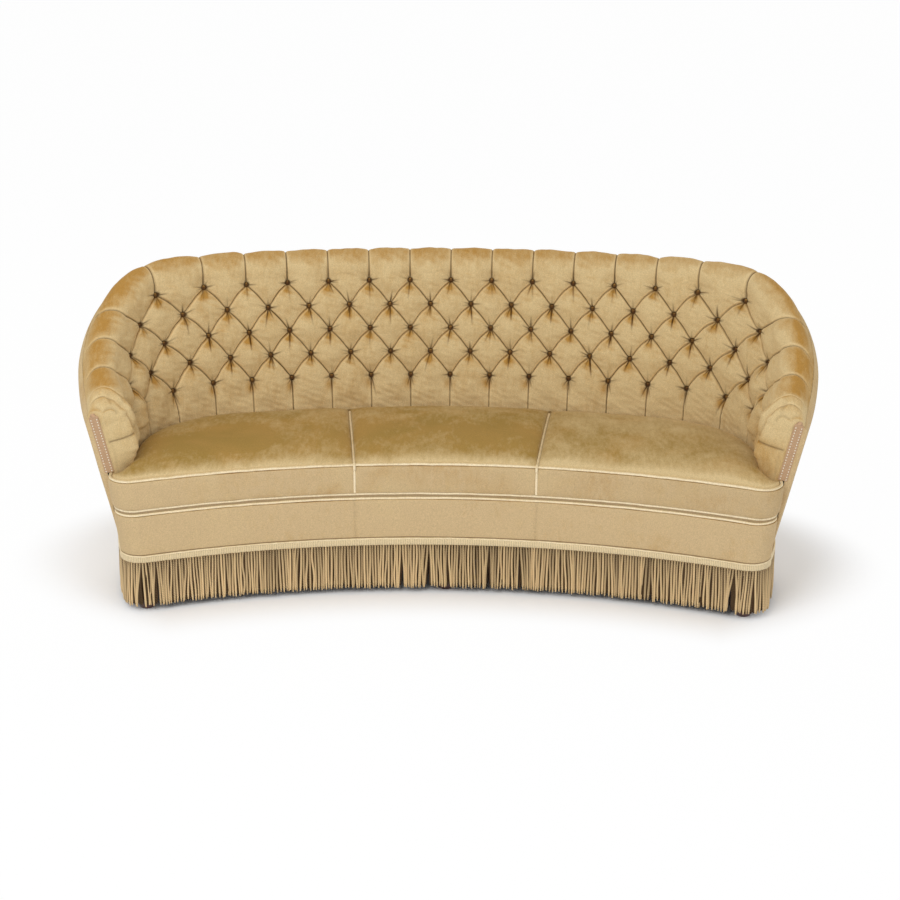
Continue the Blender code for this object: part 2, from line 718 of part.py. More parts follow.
def seat_plan(seat, height, front_inset, rear_offset, seam_inset, inside_rails):
    """Front and rear outlines of one seat in plan, from its left end to its right end."""
    front_reach = FRONT_RADIUS + front_inset
    if seat == 0:
        fronts = []
        rears = []
        for index in range(-SEAT_COLUMNS // 2, SEAT_COLUMNS // 2 + 1):
            share = 2 * index / SEAT_COLUMNS
            turn = seam_turn(1, seam_inset, front_reach) * share
            fronts.append(front_reach_point(turn, front_reach))
            rear = back_reach(turn, rear_offset)
            turn = seam_turn(1, seam_inset, rear) * share
            rears.append(front_reach_point(turn, back_reach(turn, rear_offset)))
        return fronts, rears
    start_turn = SEAM_TURN + seam_inset / front_reach
    fronts = [front_reach_point(start_turn, front_reach)]
    fronts += [point for point in front_line(front_inset, height) if point[0] > fronts[0][0]]
    rear_turn = SEAM_TURN + seam_inset / back_reach(SEAM_TURN, rear_offset)
    rears = [front_reach_point(rear_turn, back_reach(rear_turn, rear_offset))]
    rears += [point for point in (line_point(mark, rear_offset) for mark in stations(0.0, SEAT_END))
              if point[0] > rears[0][0]]
    if inside_rails:
        limit = ARM_FRONT_X + rear_offset
        fronts = [(min(x, limit), y) for x, y in fronts]
    if seat < 0:
        fronts = [(-x, y) for x, y in reversed(fronts)]
        rears = [(-x, y) for x, y in reversed(rears)]
    return fronts, rears


def arm_edge(height, front_inset, rear_offset):
    """Outline of the seat along the right arm: its front corner, then a point at each nose station."""
    front_y = ARM_FRONT_Y - GAP
    points = [(SIDE_X + front_flare(height) - front_inset, front_y)]
    for mark in reversed(stations(SEAT_END, LINE_END)):
        x, y = line_point(mark, rear_offset + WALL_THICKNESS * (1.0 - wall_share(mark)))
        points.append((x, max(y, front_y) if mark < LINE_END else front_y))
    return points


def seat_grid(seat, height, front_inset, rear_offset, seam_inset, columns, rows, inside_rails=False):
    fronts, rears = seat_plan(seat, height, front_inset, rear_offset, seam_inset, inside_rails)
    grid = []
    for column in range(columns + 1):
        front = along(fronts, column / columns)
        rear = along(rears, column / columns)
        grid.append([(front[0] + (rear[0] - front[0]) * row / rows,
                      front[1] + (rear[1] - front[1]) * row / rows) for row in range(rows + 1)])
    if seat and not inside_rails:
        edge = [(seat * x, y) for x, y in arm_edge(height, front_inset, rear_offset)]
        end = grid[-1 if seat > 0 else 0]
        bends = [(x - straight[0], y - straight[1]) for (x, y), straight in zip(edge, end)]
        for column, line in enumerate(grid):
            pull = (column / columns if seat > 0 else 1.0 - column / columns) ** ARM_PULL_POWER
            grid[column] = [(x + pull * bend[0], y + pull * bend[1]) for (x, y), bend in zip(line, bends)]
    return grid


def seat_crown(across, back):
    """Share of the crown at a place on a seat, from 0 at its edges to 1 in the middle."""
    wide = 1.0 - abs(2.0 * across - 1.0) ** CROWN_EDGE_POWER
    deep = 1.0 - abs(2.0 * back - 1.0) ** CROWN_EDGE_POWER
    return max(0.0, wide * deep) ** CROWN_POWER


def seam_rise(back):
    """Height of the sewn seam between two seats over the seat's edge."""
    return SEAT_CROWN * SEAM_CROWN_SHARE * math.sin(math.pi * back) - SEAT_SEAM_DIP


def seat_rear_offset():
    """Offset of the seats' rear edge, just clear of the stuffing at the foot of the back."""
    stuffing = TUFT_DEPTH * TUCK_LOW_SHARE * math.cos(WALL_LEAN)
    return face_offset(PAD_BOTTOM_HEIGHT) - stuffing - SEAT_CLEARANCE


def seat_pad(name, seat, finish, group):
    """Tight sprung seat: flat under, crowned on top and drawn down along its seams."""
    front_inset = BORDER_THICKNESS + SEAT_CLEARANCE
    rear_offset = seat_rear_offset()
    top_grid, low_grid = [seat_grid(seat, height, front_inset, rear_offset, GAP / 2, SEAT_COLUMNS, SEAT_ROWS)
                          for height in (SEAT_EDGE_HEIGHT, SEAT_BOTTOM_HEIGHT)]
    seam_columns = [column for column, side in ((0, -1), (SEAT_COLUMNS, 1)) if seat != side]
    bm = bmesh.new()
    tops = []
    lows = []
    for column, lines in enumerate(zip(top_grid, low_grid)):
        across = column / SEAT_COLUMNS
        top_line = []
        low_line = []
        for row, (over, under) in enumerate(zip(*lines)):
            back = row / SEAT_ROWS
            if column in seam_columns:
                rise = seam_rise(back) if 0 < row < SEAT_ROWS else 0.0
            else:
                rise = SEAT_CROWN * seat_crown(across, back)
            top_line.append(bm.verts.new((*over, SEAT_EDGE_HEIGHT + rise)))
            low_line.append(bm.verts.new((*under, SEAT_BOTTOM_HEIGHT)))
        tops.append(top_line)
        lows.append(low_line)
    for column in range(SEAT_COLUMNS):
        for row in range(SEAT_ROWS):
            bm.faces.new((tops[column][row], tops[column + 1][row],
                          tops[column + 1][row + 1], tops[column][row + 1]))
        for row in (0, SEAT_ROWS):
            near, far = tops[column][row], tops[column + 1][row]
            bm.faces.new((near, far, lows[column + 1][row], lows[column][row]))
    for row in range(SEAT_ROWS):
        for column in (0, SEAT_COLUMNS):
            near, far = tops[column][row], tops[column][row + 1]
            bm.faces.new((near, far, lows[column][row + 1], lows[column][row]))
    rim = [line[0] for line in lows] + lows[-1][1:] + [line[-1] for line in reversed(lows[:-1])]
    rim += list(reversed(lows[0][1:-1]))
    bm.faces.new(rim)
    inner = [vert for line in lows[1:-1] for vert in line[1:-1]]
    bmesh.ops.delete(bm, geom=inner, context="VERTS")
    return add_object(name, mesh_from(name, bm), finish, group)


def seam_welt(name, side, finish, group):
    """Piping laid along the seam between two seats."""
    rear_offset = seat_rear_offset()
    turn = side * SEAM_TURN
    front_reach = FRONT_RADIUS + BORDER_THICKNESS + SEAT_CLEARANCE
    rear_reach = back_reach(turn, rear_offset)
    points = []
    for row in range(1, SEAT_ROWS):
        back = row / SEAT_ROWS
        x, y = front_reach_point(turn, front_reach + (rear_reach - front_reach) * back)
        points.append((x, y, SEAT_EDGE_HEIGHT + seam_rise(back) + WELT_RADIUS + GAP))
    return tube(name, points, WELT_RADIUS, WELT_BEVEL_STEPS, finish, group)


def front_welt(name, height, finish, group):
    """Piping along the front of the seat, round its corners to the arm fronts."""
    points = [(x, y, height) for x, y in front_line(WELT_INSET, height)]
    return tube(name, points, WELT_RADIUS, WELT_BEVEL_STEPS, finish, group)


def bore(target, x, y, cutters):
    """Hole from below for a foot's dowel."""
    cutter = cylinder_cutter("bore_" + target.name + "_%d" % len(cutters.objects),
                             DOWEL_RADIUS + DOWEL_CLEARANCE, RAIL_BOTTOM_HEIGHT - CUT_OVERRUN,
                             RAIL_BOTTOM_HEIGHT + DOWEL_LENGTH + GAP, x, y, cutters)
    cut(target, cutter)


def foot_places():
    """Name, x, y and carrying rail of every foot."""
    inset = FRONT_RAIL_FACE + RAIL_THICKNESS * FOOT_RAIL_SHARE
    radius = FRONT_RADIUS + inset
    front_y = math.sqrt(radius * radius - FRONT_FOOT_OFFSET ** 2) - FRONT_RADIUS
    rear_offset = REAR_RAIL_OFFSET - RAIL_THICKNESS * FOOT_RAIL_SHARE
    rear_x, rear_y = line_point(REAR_FOOT_STATION, rear_offset)
    return [
        ("foot_front_left", -FRONT_FOOT_OFFSET, front_y, "front_rail"),
        ("foot_front_centre", 0.0, inset, "front_rail"),
        ("foot_front_right", FRONT_FOOT_OFFSET, front_y, "front_rail"),
        ("foot_rear_left", -rear_x, rear_y, "side_rail_left"),
        ("foot_rear_centre", 0.0, SEAT_DEPTH + rear_offset, "back_rail"),
        ("foot_rear_right", rear_x, rear_y, "side_rail_right"),
    ]


def foot_profile():
    """Outer side of a turned bun foot with its dowel, from top to bottom."""
    top = RAIL_BOTTOM_HEIGHT - GAP
    collar = top * COLLAR_SHARE
    middle = (top - collar) * BUN_MIDDLE_SHARE
    points = [(0.0, top + DOWEL_LENGTH), (DOWEL_RADIUS, top + DOWEL_LENGTH), (DOWEL_RADIUS, top)]
    collar_radius = (FOOT_NECK_RADIUS + FOOT_RADIUS) / 2
    points += [(FOOT_NECK_RADIUS, top), (collar_radius, top - collar * COLLAR_UPPER_SHARE)]
    points += [(collar_radius, top - collar * COLLAR_LOWER_SHARE), (FOOT_NECK_RADIUS, top - collar)]
    for step in range(1, BUN_STEPS):
        turn = BUN_SWEEP * (BUN_STEPS - 2 * step) / (2 * BUN_STEPS)
        points.append((FOOT_RADIUS * math.cos(turn), middle + middle * math.sin(turn)))
    points += [(FOOT_BASE_RADIUS, 0.0), (0.0, 0.0)]
    return points


def foot(name, x, y, finish, group):
    bm = bmesh.new()
    line = [bm.verts.new((radius, 0.0, height)) for radius, height in foot_profile()]
    for near, far in zip(line, line[1:]):
        bm.edges.new((near, far))
    mesh = bpy.data.meshes.new(name)
    bm.to_mesh(mesh)
    bm.free()
    made = add_object(name, mesh, finish, group)
    turned = made.modifiers.new("turned", "SCREW")
    turned.axis = "Z"
    turned.steps = TURN_SEGMENTS
    turned.render_steps = TURN_SEGMENTS
    turned.use_merge_vertices = True
    turned.merge_threshold = MERGE_DISTANCE
    turned.use_smooth_shade = True
    made.location = (x, y, 0.0)
    return made


def corner_block(name, side, finish, group):
    """Glued block inside a front corner, against the front rail and the side rail."""
    outer_x = ARM_FRONT_X + RAIL_INNER_OFFSET
    chamfer = RAIL_THICKNESS / 2
    inner_x = outer_x - BLOCK_LENGTH / 2
    reach = FRONT_RADIUS + FRONT_RAIL_FACE + RAIL_THICKNESS + 2 * GAP

    def front_y(x):
        return math.sqrt(reach * reach - x * x) - FRONT_RADIUS

    plan = [
        (inner_x, front_y(inner_x)),
        (outer_x - chamfer, front_y(outer_x - chamfer)),
        (outer_x, front_y(outer_x) + chamfer),
        (outer_x, ARM_FRONT_Y + BLOCK_LENGTH),
        (inner_x, ARM_FRONT_Y + BLOCK_LENGTH),
    ]
    low = RAIL_BOTTOM_HEIGHT + WEB_LIFT + WEB_THICKNESS + GAP
    sections = [[(side * x, y, height) for x, y in plan] for height in (low, RAIL_TOP_HEIGHT)]
    return loft(name, sections, finish, group)


def seat_bearer(name, side, finish, group):
    """Board from the front rail to the back rail, under the seam between two seats."""
    half = BEARER_THICKNESS / 2
    front = FRONT_RADIUS + FRONT_RAIL_FACE + RAIL_THICKNESS + 2 * GAP
    plan = []
    for edge in (-half, half):
        turn = side * SEAM_TURN + edge / front
        plan.append(front_reach_point(turn, front))
    for edge in (half, -half):
        turn = side * SEAM_TURN + edge / back_reach(side * SEAM_TURN, RAIL_INNER_OFFSET)
        plan.append(front_reach_point(turn, back_reach(turn, RAIL_INNER_OFFSET) - GAP))
    sections = [[(x, y, height) for x, y in plan] for height in (RAIL_BOTTOM_HEIGHT, RAIL_TOP_HEIGHT)]
    return loft(name, sections, finish, group)


def suspension_grid(seat):
    """Plan points of one seat's webbing, inside the rails and the bearers."""
    front_inset = FRONT_RAIL_FACE + RAIL_THICKNESS + SEAT_CLEARANCE
    return seat_grid(seat, RAIL_BOTTOM_HEIGHT, front_inset, RAIL_INNER_OFFSET,
                     BEARER_THICKNESS / 2 + 2 * GAP, WEB_COLUMNS, WEB_ROWS, inside_rails=True)


def seat_webbing(name, seat, finish, group):
    """Crossed jute straps under the springs, with open cells between them."""
    grid = suspension_grid(seat)
    bm = bmesh.new()
    height = RAIL_BOTTOM_HEIGHT + WEB_LIFT
    points = [[bm.verts.new((x, y, height)) for x, y in line] for line in grid]
    for column in range(WEB_COLUMNS):
        for row in range(WEB_ROWS):
            if column % 2 == 0 or row % 2 == 0:
                bm.faces.new((points[column][row], points[column + 1][row],
                              points[column + 1][row + 1], points[column][row + 1]))
    made = add_object(name, mesh_from(name, bm), finish, group)
    thick = made.modifiers.new("thickness", "SOLIDIFY")
    thick.thickness = WEB_THICKNESS
    thick.offset = 1.0 if made.data.polygons[0].normal.z > 0.0 else -1.0
    return made


def seat_springs(seat):
    """Plan place of each coil spring of a seat, over the crossings of its webbing."""
    grid = suspension_grid(seat)
    places = []
    row = int(SPRING_ROW_SHARE * WEB_ROWS)
    for share in SPRING_COLUMN_SHARES:
        column = int(share * WEB_COLUMNS)
        near, far = grid[column][row], grid[column + 1][row + 1]
        places.append(((near[0] + far[0]) / 2, (near[1] + far[1]) / 2))
    return places


def coil_spring(name, x, y, finish, group):
    """Waisted coil spring between the webbing and the seat."""
    low = RAIL_BOTTOM_HEIGHT + WEB_LIFT + WEB_THICKNESS + SPRING_WIRE_RADIUS + GAP
    high = SEAT_BOTTOM_HEIGHT - SPRING_WIRE_RADIUS - GAP
    count = SPRING_TURNS * SPRING_TURN_POINTS
    points = []
    for index in range(count + 1):
        share = index / count
        radius = SPRING_WAIST_RADIUS + (SPRING_END_RADIUS - SPRING_WAIST_RADIUS) * (2 * share - 1) ** 2
        climb = min(1.0, max(0.0, (share - SPRING_FLAT_SHARE) / (1 - 2 * SPRING_FLAT_SHARE)))
        turn = 2 * math.pi * SPRING_TURNS * share
        points.append((radius * math.cos(turn), radius * math.sin(turn), low + (high - low) * climb))
    made = tube(name, points, SPRING_WIRE_RADIUS, WIRE_BEVEL_STEPS, finish, group)
    made.location = (x, y, 0.0)
    return made


def wave(share, length):
    """Sideways swing of the fringe at a share of its length: whole waves from end to end."""
    return FRINGE_WAVE * math.sin(2 * math.pi * round(length / FRINGE_WAVE_LENGTH) * share)


def fringe_band(name, length, point_at, finish, group):
    """Hanging fringe: straight under its header and waving at its foot."""
    samples = WAVE_SAMPLES * round(length / FRINGE_WAVE_LENGTH)
    top = PANEL_BOTTOM_HEIGHT - GAP
    rear = (HEADER_THICKNESS - FRINGE_THICKNESS) / 2 + GAP
    sections = []
    for index in range(samples + 1):
        share = index / samples
        swing = wave(share, length)
        outer = rear + FRINGE_THICKNESS
        sections.append([
            (*point_at(share, outer + swing), FRINGE_BOTTOM_HEIGHT),
            (*point_at(share, outer), top),
            (*point_at(share, rear), top),
            (*point_at(share, rear + swing), FRINGE_BOTTOM_HEIGHT),
        ])
    return loft(name, sections, finish, group)


def front_fringe(finish, group):
    lines = {}

    def point_at(share, outward):
        if outward not in lines:
            lines[outward] = front_line(-outward)
        return along(lines[outward], share)

    length = sum(math.dist(near, far) for near, far in zip(front_line(0.0), front_line(0.0)[1:]))
    return fringe_band("fringe_front", length, point_at, finish, group)


def wall_fringe(name, first, last, finish, group):
    def point_at(share, outward):
        return line_point(first + (last - first) * share, BASE_OFFSET + outward)

    return fringe_band(name, last - first, point_at, finish, group)


def dust_cover(finish, group, cutters):
    """Dark cloth tacked under the rails, cut round the feet."""
    half = RAIL_THICKNESS / 2
    outline = front_line(FRONT_RAIL_FACE + half)
    marks = stations(-NOSE_START, NOSE_START, fine=False)
    outline += [line_point(mark, REAR_RAIL_OFFSET - half) for mark in reversed(marks)]
    high = RAIL_BOTTOM_HEIGHT - GAP
    sections = [[(x, y, height) for x, y in outline] for height in (high - DUST_COVER_THICKNESS, high)]
    made = loft("dust_cover", sections, finish, group)
    for name, x, y, _ in foot_places():
        cutter = cylinder_cutter("clearance_" + name, FOOT_RADIUS, RAIL_BOTTOM_HEIGHT - CUT_OVERRUN,
                                 RAIL_BOTTOM_HEIGHT + CUT_OVERRUN, x, y, cutters)
        cut(made, cutter)
    return made


def build_frame(wood, group, cutters):
    low = RAIL_BOTTOM_HEIGHT
    high = RAIL_TOP_HEIGHT
    face = FRONT_RAIL_FACE
    rails = {"front_rail": ribbon("front_rail", front_line(face), front_line(face + RAIL_THICKNESS),
                                  low, high, wood, group)}
    outer = REAR_RAIL_OFFSET
    inner = outer - RAIL_THICKNESS
    spans = {
        "back_rail": (-JOINT + GAP / 2, JOINT - GAP / 2),
        "side_rail_left": (-LINE_END, -JOINT - GAP / 2),
        "side_rail_right": (JOINT + GAP / 2, LINE_END),
    }
    for name, (first, last) in spans.items():
        marks = stations(first, last, fine=False)
        rails[name] = wall_band(name, marks, outer, inner, low, high, wood, group)
    for _, x, y, rail in foot_places():
        bore(rails[rail], x, y, cutters)
    top_rail("top_rail", -JOINT + GAP / 2, JOINT - GAP / 2, wood, group)
    top_rail("arm_top_rail_left", -NOSE_START, -JOINT - GAP / 2, wood, group)
    top_rail("arm_top_rail_right", JOINT + GAP / 2, NOSE_START, wood, group)
    for number, share in enumerate(BACK_POST_SHARES, start=1):
        post("back_post_%d" % number, round(share * JOINT / STATION_STEP), wood, group)
    corner_step = round((BACK_LENGTH + CORNER_LENGTH * CORNER_POST_SHARE) / STATION_STEP)
    arm_step = math.floor(NOSE_START / STATION_STEP) - 1
    for side, label in ((-1, "left"), (1, "right")):
        post("corner_post_" + label, side * corner_step, wood, group)
        post("arm_post_" + label, side * arm_step, wood, group)
        corner_block("corner_block_" + label, side, wood, group)
        seat_bearer("seat_bearer_" + label, side, wood, group)


def build_suspension(steel, jute, group):
    for label, seat in SEATS:
        seat_webbing("seat_webbing_" + label, seat, jute, group)
        for number, (x, y) in enumerate(seat_springs(seat), start=1):
            coil_spring("seat_spring_%s_%d" % (label, number), x, y, steel, group)


def build_upholstery(group):
    velour = material("gold_velour", VELOUR, 0.8)
    light = material("gold_velour_light", VELOUR_LIGHT, 0.85)
    gimp = material("gimp_braid", GIMP, 0.9)
    marks = stations(-LINE_END, LINE_END)
    join = 4 * JOIN_COLUMN
    tufted_pad("inside_back_left", None, -join, marks, velour, group)
    tufted_pad("inside_back_centre", -join, join, marks, velour, group)
    tufted_pad("inside_back_right", join, None, marks, velour, group)
    outside_panel("outside_arm_left", -LINE_END, -JOINT - GAP / 2, light, group)
    outside_panel("outside_back", -JOINT + GAP / 2, JOINT - GAP / 2, light, group)
    outside_panel("outside_arm_right", JOINT + GAP / 2, LINE_END, light, group)
    for side, label in ((-1, "left"), (1, "right")):
        gimp_strip("gimp_strip_" + label, side, gimp, group)
        seam_welt("seam_welt_" + label, side, velour, group)
    for label, seat in SEATS:
        seat_pad("seat_pad_" + label, seat, velour, group)
    border_bottom = BORDER_WELT_HEIGHT + WELT_RADIUS + GAP
    apron_top = APRON_WELT_HEIGHT - WELT_RADIUS - GAP
    front_panel("front_border", 0.0, BORDER_THICKNESS, border_bottom, BORDER_TOP_HEIGHT, light, group)
    front_panel("front_apron", 0.0, BORDER_THICKNESS, PANEL_BOTTOM_HEIGHT, apron_top, light, group)
    front_welt("seat_top_welt", BORDER_TOP_HEIGHT + WELT_RADIUS + GAP, velour, group)
    front_welt("border_bottom_welt", BORDER_WELT_HEIGHT, velour, group)
    front_welt("apron_top_welt", APRON_WELT_HEIGHT, velour, group)


def build_fringe(group):
    thread = material("fringe_thread", FRINGE_THREAD, 0.9)
    low = PANEL_BOTTOM_HEIGHT
    high = HEADER_TOP_HEIGHT
    front_panel("header_front", -GAP - HEADER_THICKNESS, -GAP, low, high, thread, group)
    front_fringe(thread, group)
    wall_band("header_rear", stations(-LINE_END, LINE_END, fine=False), BASE_OFFSET + HEADER_THICKNESS,
              BASE_OFFSET, low, high, thread, group)
    wall_fringe("fringe_rear", -LINE_END, LINE_END, thread, group)


def main():
    clear_scene()
    group = new_collection("curved_tufted_sofa")
    cutters = new_collection("cutters")
    frame_wood = material("frame_beech", FRAME_WOOD, 0.7)
    hessian = material("hessian", HESSIAN, 0.95)
    build_frame(frame_wood, group, cutters)
    build_suspension(material("spring_steel", SPRING_STEEL, 0.4, 1.0), hessian, group)
    back_lining(hessian, group)
    build_upholstery(group)
    build_fringe(group)
    dust_cover(material("dust_cloth", DUST_CLOTH, 0.95), group, cutters)
    stained = material("stained_wood", STAINED_WOOD, 0.35)
    for name, x, y, _ in foot_places():
        foot(name, x, y, stained, group)
    for made in list(group.objects) + list(cutters.objects):
        made.location.y -= CENTRE_Y


if __name__ == "__main__":
    main()
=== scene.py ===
"""Curved three-seat sofa with a deep-buttoned back, sprung seats and a bullion fringe."""

import math

import bmesh
import bpy
import numpy as np
from bpy.props import FloatProperty, FloatVectorProperty, IntProperty, PointerProperty
from mathutils import Matrix, Vector


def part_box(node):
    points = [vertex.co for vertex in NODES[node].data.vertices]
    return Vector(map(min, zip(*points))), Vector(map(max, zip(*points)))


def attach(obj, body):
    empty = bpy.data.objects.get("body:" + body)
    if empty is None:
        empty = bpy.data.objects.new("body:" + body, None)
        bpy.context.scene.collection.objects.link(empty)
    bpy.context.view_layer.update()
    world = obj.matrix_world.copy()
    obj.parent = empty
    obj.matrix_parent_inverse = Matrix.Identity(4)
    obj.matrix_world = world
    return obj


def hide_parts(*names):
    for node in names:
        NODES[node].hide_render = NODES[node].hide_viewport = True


bl_info = {
    "name": "Curved buttoned sofa",
    "version": (1, 0, 0),
    "blender": (4, 5, 0),
    "location": "3D View > Sidebar > Sofa",
    "description": "Covers, buttons, piping, fringe and feet of a curved sofa on its packed frame",
    "category": "Add Mesh",
}

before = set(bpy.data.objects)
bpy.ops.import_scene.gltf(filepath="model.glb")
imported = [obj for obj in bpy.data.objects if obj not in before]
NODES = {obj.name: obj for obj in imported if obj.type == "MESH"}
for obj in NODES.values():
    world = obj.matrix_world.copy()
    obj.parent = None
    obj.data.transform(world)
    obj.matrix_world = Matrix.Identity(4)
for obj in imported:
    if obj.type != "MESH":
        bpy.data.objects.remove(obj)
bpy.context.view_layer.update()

# Plan of the sofa, as the frame has it
BACK_RADIUS = 2.50
BACK_HALF_WIDTH = 0.68
CORNER_RADIUS = 0.37
SEAT_DEPTH = 0.545
FRONT_RADIUS = 2.35
FRONT_CORNER_RADIUS = 0.06
ARM_SETBACK = 0.0013
ARM_TAPER = 0.035
FRONT_FLARE = 0.022
CENTRE_Y = 0.252056
GAP = 0.0003
ROLL_GAP = 0.0008
SEAT_CLEARANCE = 0.0009

# Wall section
WALL_LEAN = math.radians(12.0)
WALL_THICKNESS = 0.088
WALL_LINE_HEIGHT = 0.63
PAD_THICKNESS = 0.022
LINING_THICKNESS = 0.002
PANEL_THICKNESS = 0.010
SEAM_ANGLE = math.radians(120.0)

# Heights
BACK_RIM_HEIGHT = 0.865
ARM_RIM_HEIGHT = 0.600
RIM_FALL_START = 0.84
RIM_FALL_END = 1.42
PAD_BOTTOM_HEIGHT = 0.345
RAIL_BOTTOM_HEIGHT = 0.100
RAIL_TOP_HEIGHT = 0.300
SEAT_EDGE_HEIGHT = 0.393
PANEL_BOTTOM_HEIGHT = 0.150
FRINGE_BOTTOM_HEIGHT = 0.012
HEADER_TOP_HEIGHT = 0.172

# Deep buttoning
STUFFING_HEIGHT = 0.030
FOOT_STUFFING_SHARE = 0.3
BUTTON_PITCH = 0.1225
TOP_BUTTON_DROP = 0.021
LOWEST_BUTTON_HEIGHT = 0.489
PLEAT_LIFT_LENGTH = 0.07
FIELD_END_COLUMN = 9
BUTTON_ROWS = 5
JOIN_COLUMN = 4
NOSE_LENGTH = 0.085
NOSE_END_WIDTH = 0.040
STRIP_WIDTH = 0.026
STRIP_THICKNESS = 0.004

# Seats, borders and trim
SEAM_HALF_WIDTH = 0.255
SEAT_SEAM_DIP = 0.010
BORDER_THICKNESS = 0.010
DOUBLE_PIPING_HEIGHT = 0.2988
DOUBLE_PIPING_SPREAD = 0.0145

# Worked out from the sizes above
LEAN = math.tan(WALL_LEAN)
BACK_TURN = math.asin(BACK_HALF_WIDTH / BACK_RADIUS)
BACK_LENGTH = BACK_RADIUS * BACK_TURN
CORNER_LENGTH = CORNER_RADIUS * (math.pi / 2 - BACK_TURN)
CORNER_X = (BACK_RADIUS - CORNER_RADIUS) * math.sin(BACK_TURN)
CORNER_Y = SEAT_DEPTH - BACK_RADIUS + (BACK_RADIUS - CORNER_RADIUS) * math.cos(BACK_TURN)
ARM_X = CORNER_X + CORNER_RADIUS
ROLL_RADIUS = WALL_THICKNESS * math.cos(WALL_LEAN) / 2
BASE_OFFSET = WALL_THICKNESS + (HEADER_TOP_HEIGHT - WALL_LINE_HEIGHT) * LEAN + GAP
SIDE_X = ARM_X - ARM_TAPER + BASE_OFFSET
FRONT_CORNER_X = SIDE_X - FRONT_CORNER_RADIUS
FRONT_REACH = FRONT_RADIUS + FRONT_CORNER_RADIUS
FRONT_CORNER_Y = math.sqrt(FRONT_REACH ** 2 - FRONT_CORNER_X ** 2) - FRONT_RADIUS
ARM_FRONT_Y = FRONT_CORNER_Y + ARM_SETBACK
ARM_LENGTH = CORNER_Y - ARM_FRONT_Y
LINE_END = BACK_LENGTH + CORNER_LENGTH + ARM_LENGTH
NOSE_START = LINE_END - NOSE_LENGTH
STATION_STEP = BUTTON_PITCH / 4
JOINT = math.floor(BACK_LENGTH / STATION_STEP) * STATION_STEP
SEAT_END = math.floor(NOSE_START / STATION_STEP) * STATION_STEP
SEAM_TURN = math.asin(SEAM_HALF_WIDTH / FRONT_RADIUS)
ARM_FACE_Y = ARM_FRONT_Y - GAP - CENTRE_Y

# Edges sharper than these stay sharp
ROLLED_EDGE = math.radians(50.0)
SEWN_EDGE = math.radians(60.0)

# A cord of the fringe: its mesh, its drop and the length of one turn of its ply
CORD_RINGS = 10
CORD_SIDES = 6
FRINGE_DROP = 0.138
PLY_TURN_LENGTH = 0.011


def linear(code):
    """Linear colour of an sRGB hex code."""
    shares = [int(code[place:place + 2], 16) / 255 for place in (1, 3, 5)]
    return tuple(s / 12.92 if s <= 0.04045 else ((s + 0.055) / 1.055) ** 2.4 for s in shares)


def length(name, description, default):
    """Property for a length in metres."""
    return FloatProperty(name=name, description=description, default=default, min=0.0,
                         unit="LENGTH", subtype="DISTANCE", precision=4)


def colour(name, description, code):
    """Property for a colour, given as an sRGB hex code."""
    return FloatVectorProperty(name=name, description=description, default=linear(code),
                               min=0.0, max=1.0, size=3, subtype="COLOR")


class SofaSizes(bpy.types.PropertyGroup):
    tuft_depth: length("Tuft depth", "Height of the stuffing over the buttons", 0.030)
    fold_bow: length("Fold bow", "Rise of each diamond's folds between two buttons", 0.0055)
    button_radius: length("Button radius", "Radius of a covered button", 0.0066)
    button_height: length("Button height", "Height of a covered button's dome", 0.0048)
    welt_radius: length("Piping radius", "Radius of the piping", 0.0040)
    seat_crown: length("Seat crown", "Height of the sprung seats over their edge", 0.034)
    border_swell: length("Border swell", "Swell of the wadding under the front border", 0.0030)
    cord_pitch: length("Fringe pitch", "Distance between two cords of the fringe", 0.0078)
    cord_radius: length("Fringe cord radius", "Radius of a cord of the fringe", 0.0030)
    rib_pitch: length("Heading rib", "Distance between two ribs of the fringe heading", 0.0050)
    stitch_pitch: length("Stitch pitch", "Distance between two stitches of the gimp", 0.0080)
    pleat_cells: IntProperty(name="Pleat cells", default=32, min=4,
                             description="Mesh cells between two rows of buttons")


class SofaColours(bpy.types.PropertyGroup):
    # Painted light and shade by facing: velour, velour_gold and velour_deep are one cloth, and faces are
    # painted in the gold ones the more they look up
    velour: colour("Velour", "Velour seen against its nap, on upright faces", "#d3ba8a")
    velour_gold: colour("Velour, along the nap", "Velour of the back, seen along its nap", "#b18541")
    velour_deep: colour("Velour, seats", "Velour of the seats, seen along its nap", "#9d7e3e")
    velour_worn: colour("Velour, worn seats", "Velour of the seats where it is rubbed", "#a98545")
    # Painted shade: this colour is mixed in where folds, seams, hollows and the border are in shade
    velour_shadow: colour("Velour folds", "Velour deep in folds and pleats", "#3c1f00")
    velour_light: colour("Outside velour", "Velour of the border, apron and outside", "#cbb187")
    # Painted highlight: the piping, and the heading's cord, are the velour painted paler along their round
    # cord
    piping: colour("Piping", "Velour drawn over piping cord", "#f4e3c0")
    gimp: colour("Gimp", "Woven gimp of the arm fronts", "#c59f79")
    stitch: colour("Stitches", "Stitches of the gimp", "#f6efd8")
    thread: colour("Fringe thread", "Twisted thread of the fringe", "#eccd9b")
    thread_dark: colour("Fringe thread, shaded", "Thread of the layer behind, in shade", "#2a1303")
    foot_stain: colour("Foot stain", "Stain of the turned feet", "#3c1a14")
    heading: colour("Fringe heading", "Woven heading of the fringe", "#ead4a8")
    # Painted shade: the buttons are the velour painted dark, as they sit deep in their hollows
    button: colour("Buttons", "Velour drawn tight over the buttons", "#5c3d20")
    floor: colour("Floor", "Studio floor", "#fbfbfb")


def smooth(share):
    """Share of 0 to 1, eased at both ends."""
    share = np.clip(share, 0.0, 1.0)
    return share * share * (3.0 - 2.0 * share)


def bell(distance, width):
    """1 at no distance, falling to about a third at the width and to nothing past twice that."""
    return np.exp(-(distance / width) ** 2)


def between(first, second, share):
    """Points or values a share of the way from one set to another."""
    return first * (1.0 - share) + second * share


def unit(ways):
    """Directions at length 1."""
    return ways / np.maximum(np.linalg.norm(ways, axis=-1, keepdims=True), 1e-6)


def levelled(line, height):
    """Plan points at one height."""
    return np.column_stack([line, np.full(len(line), height)])


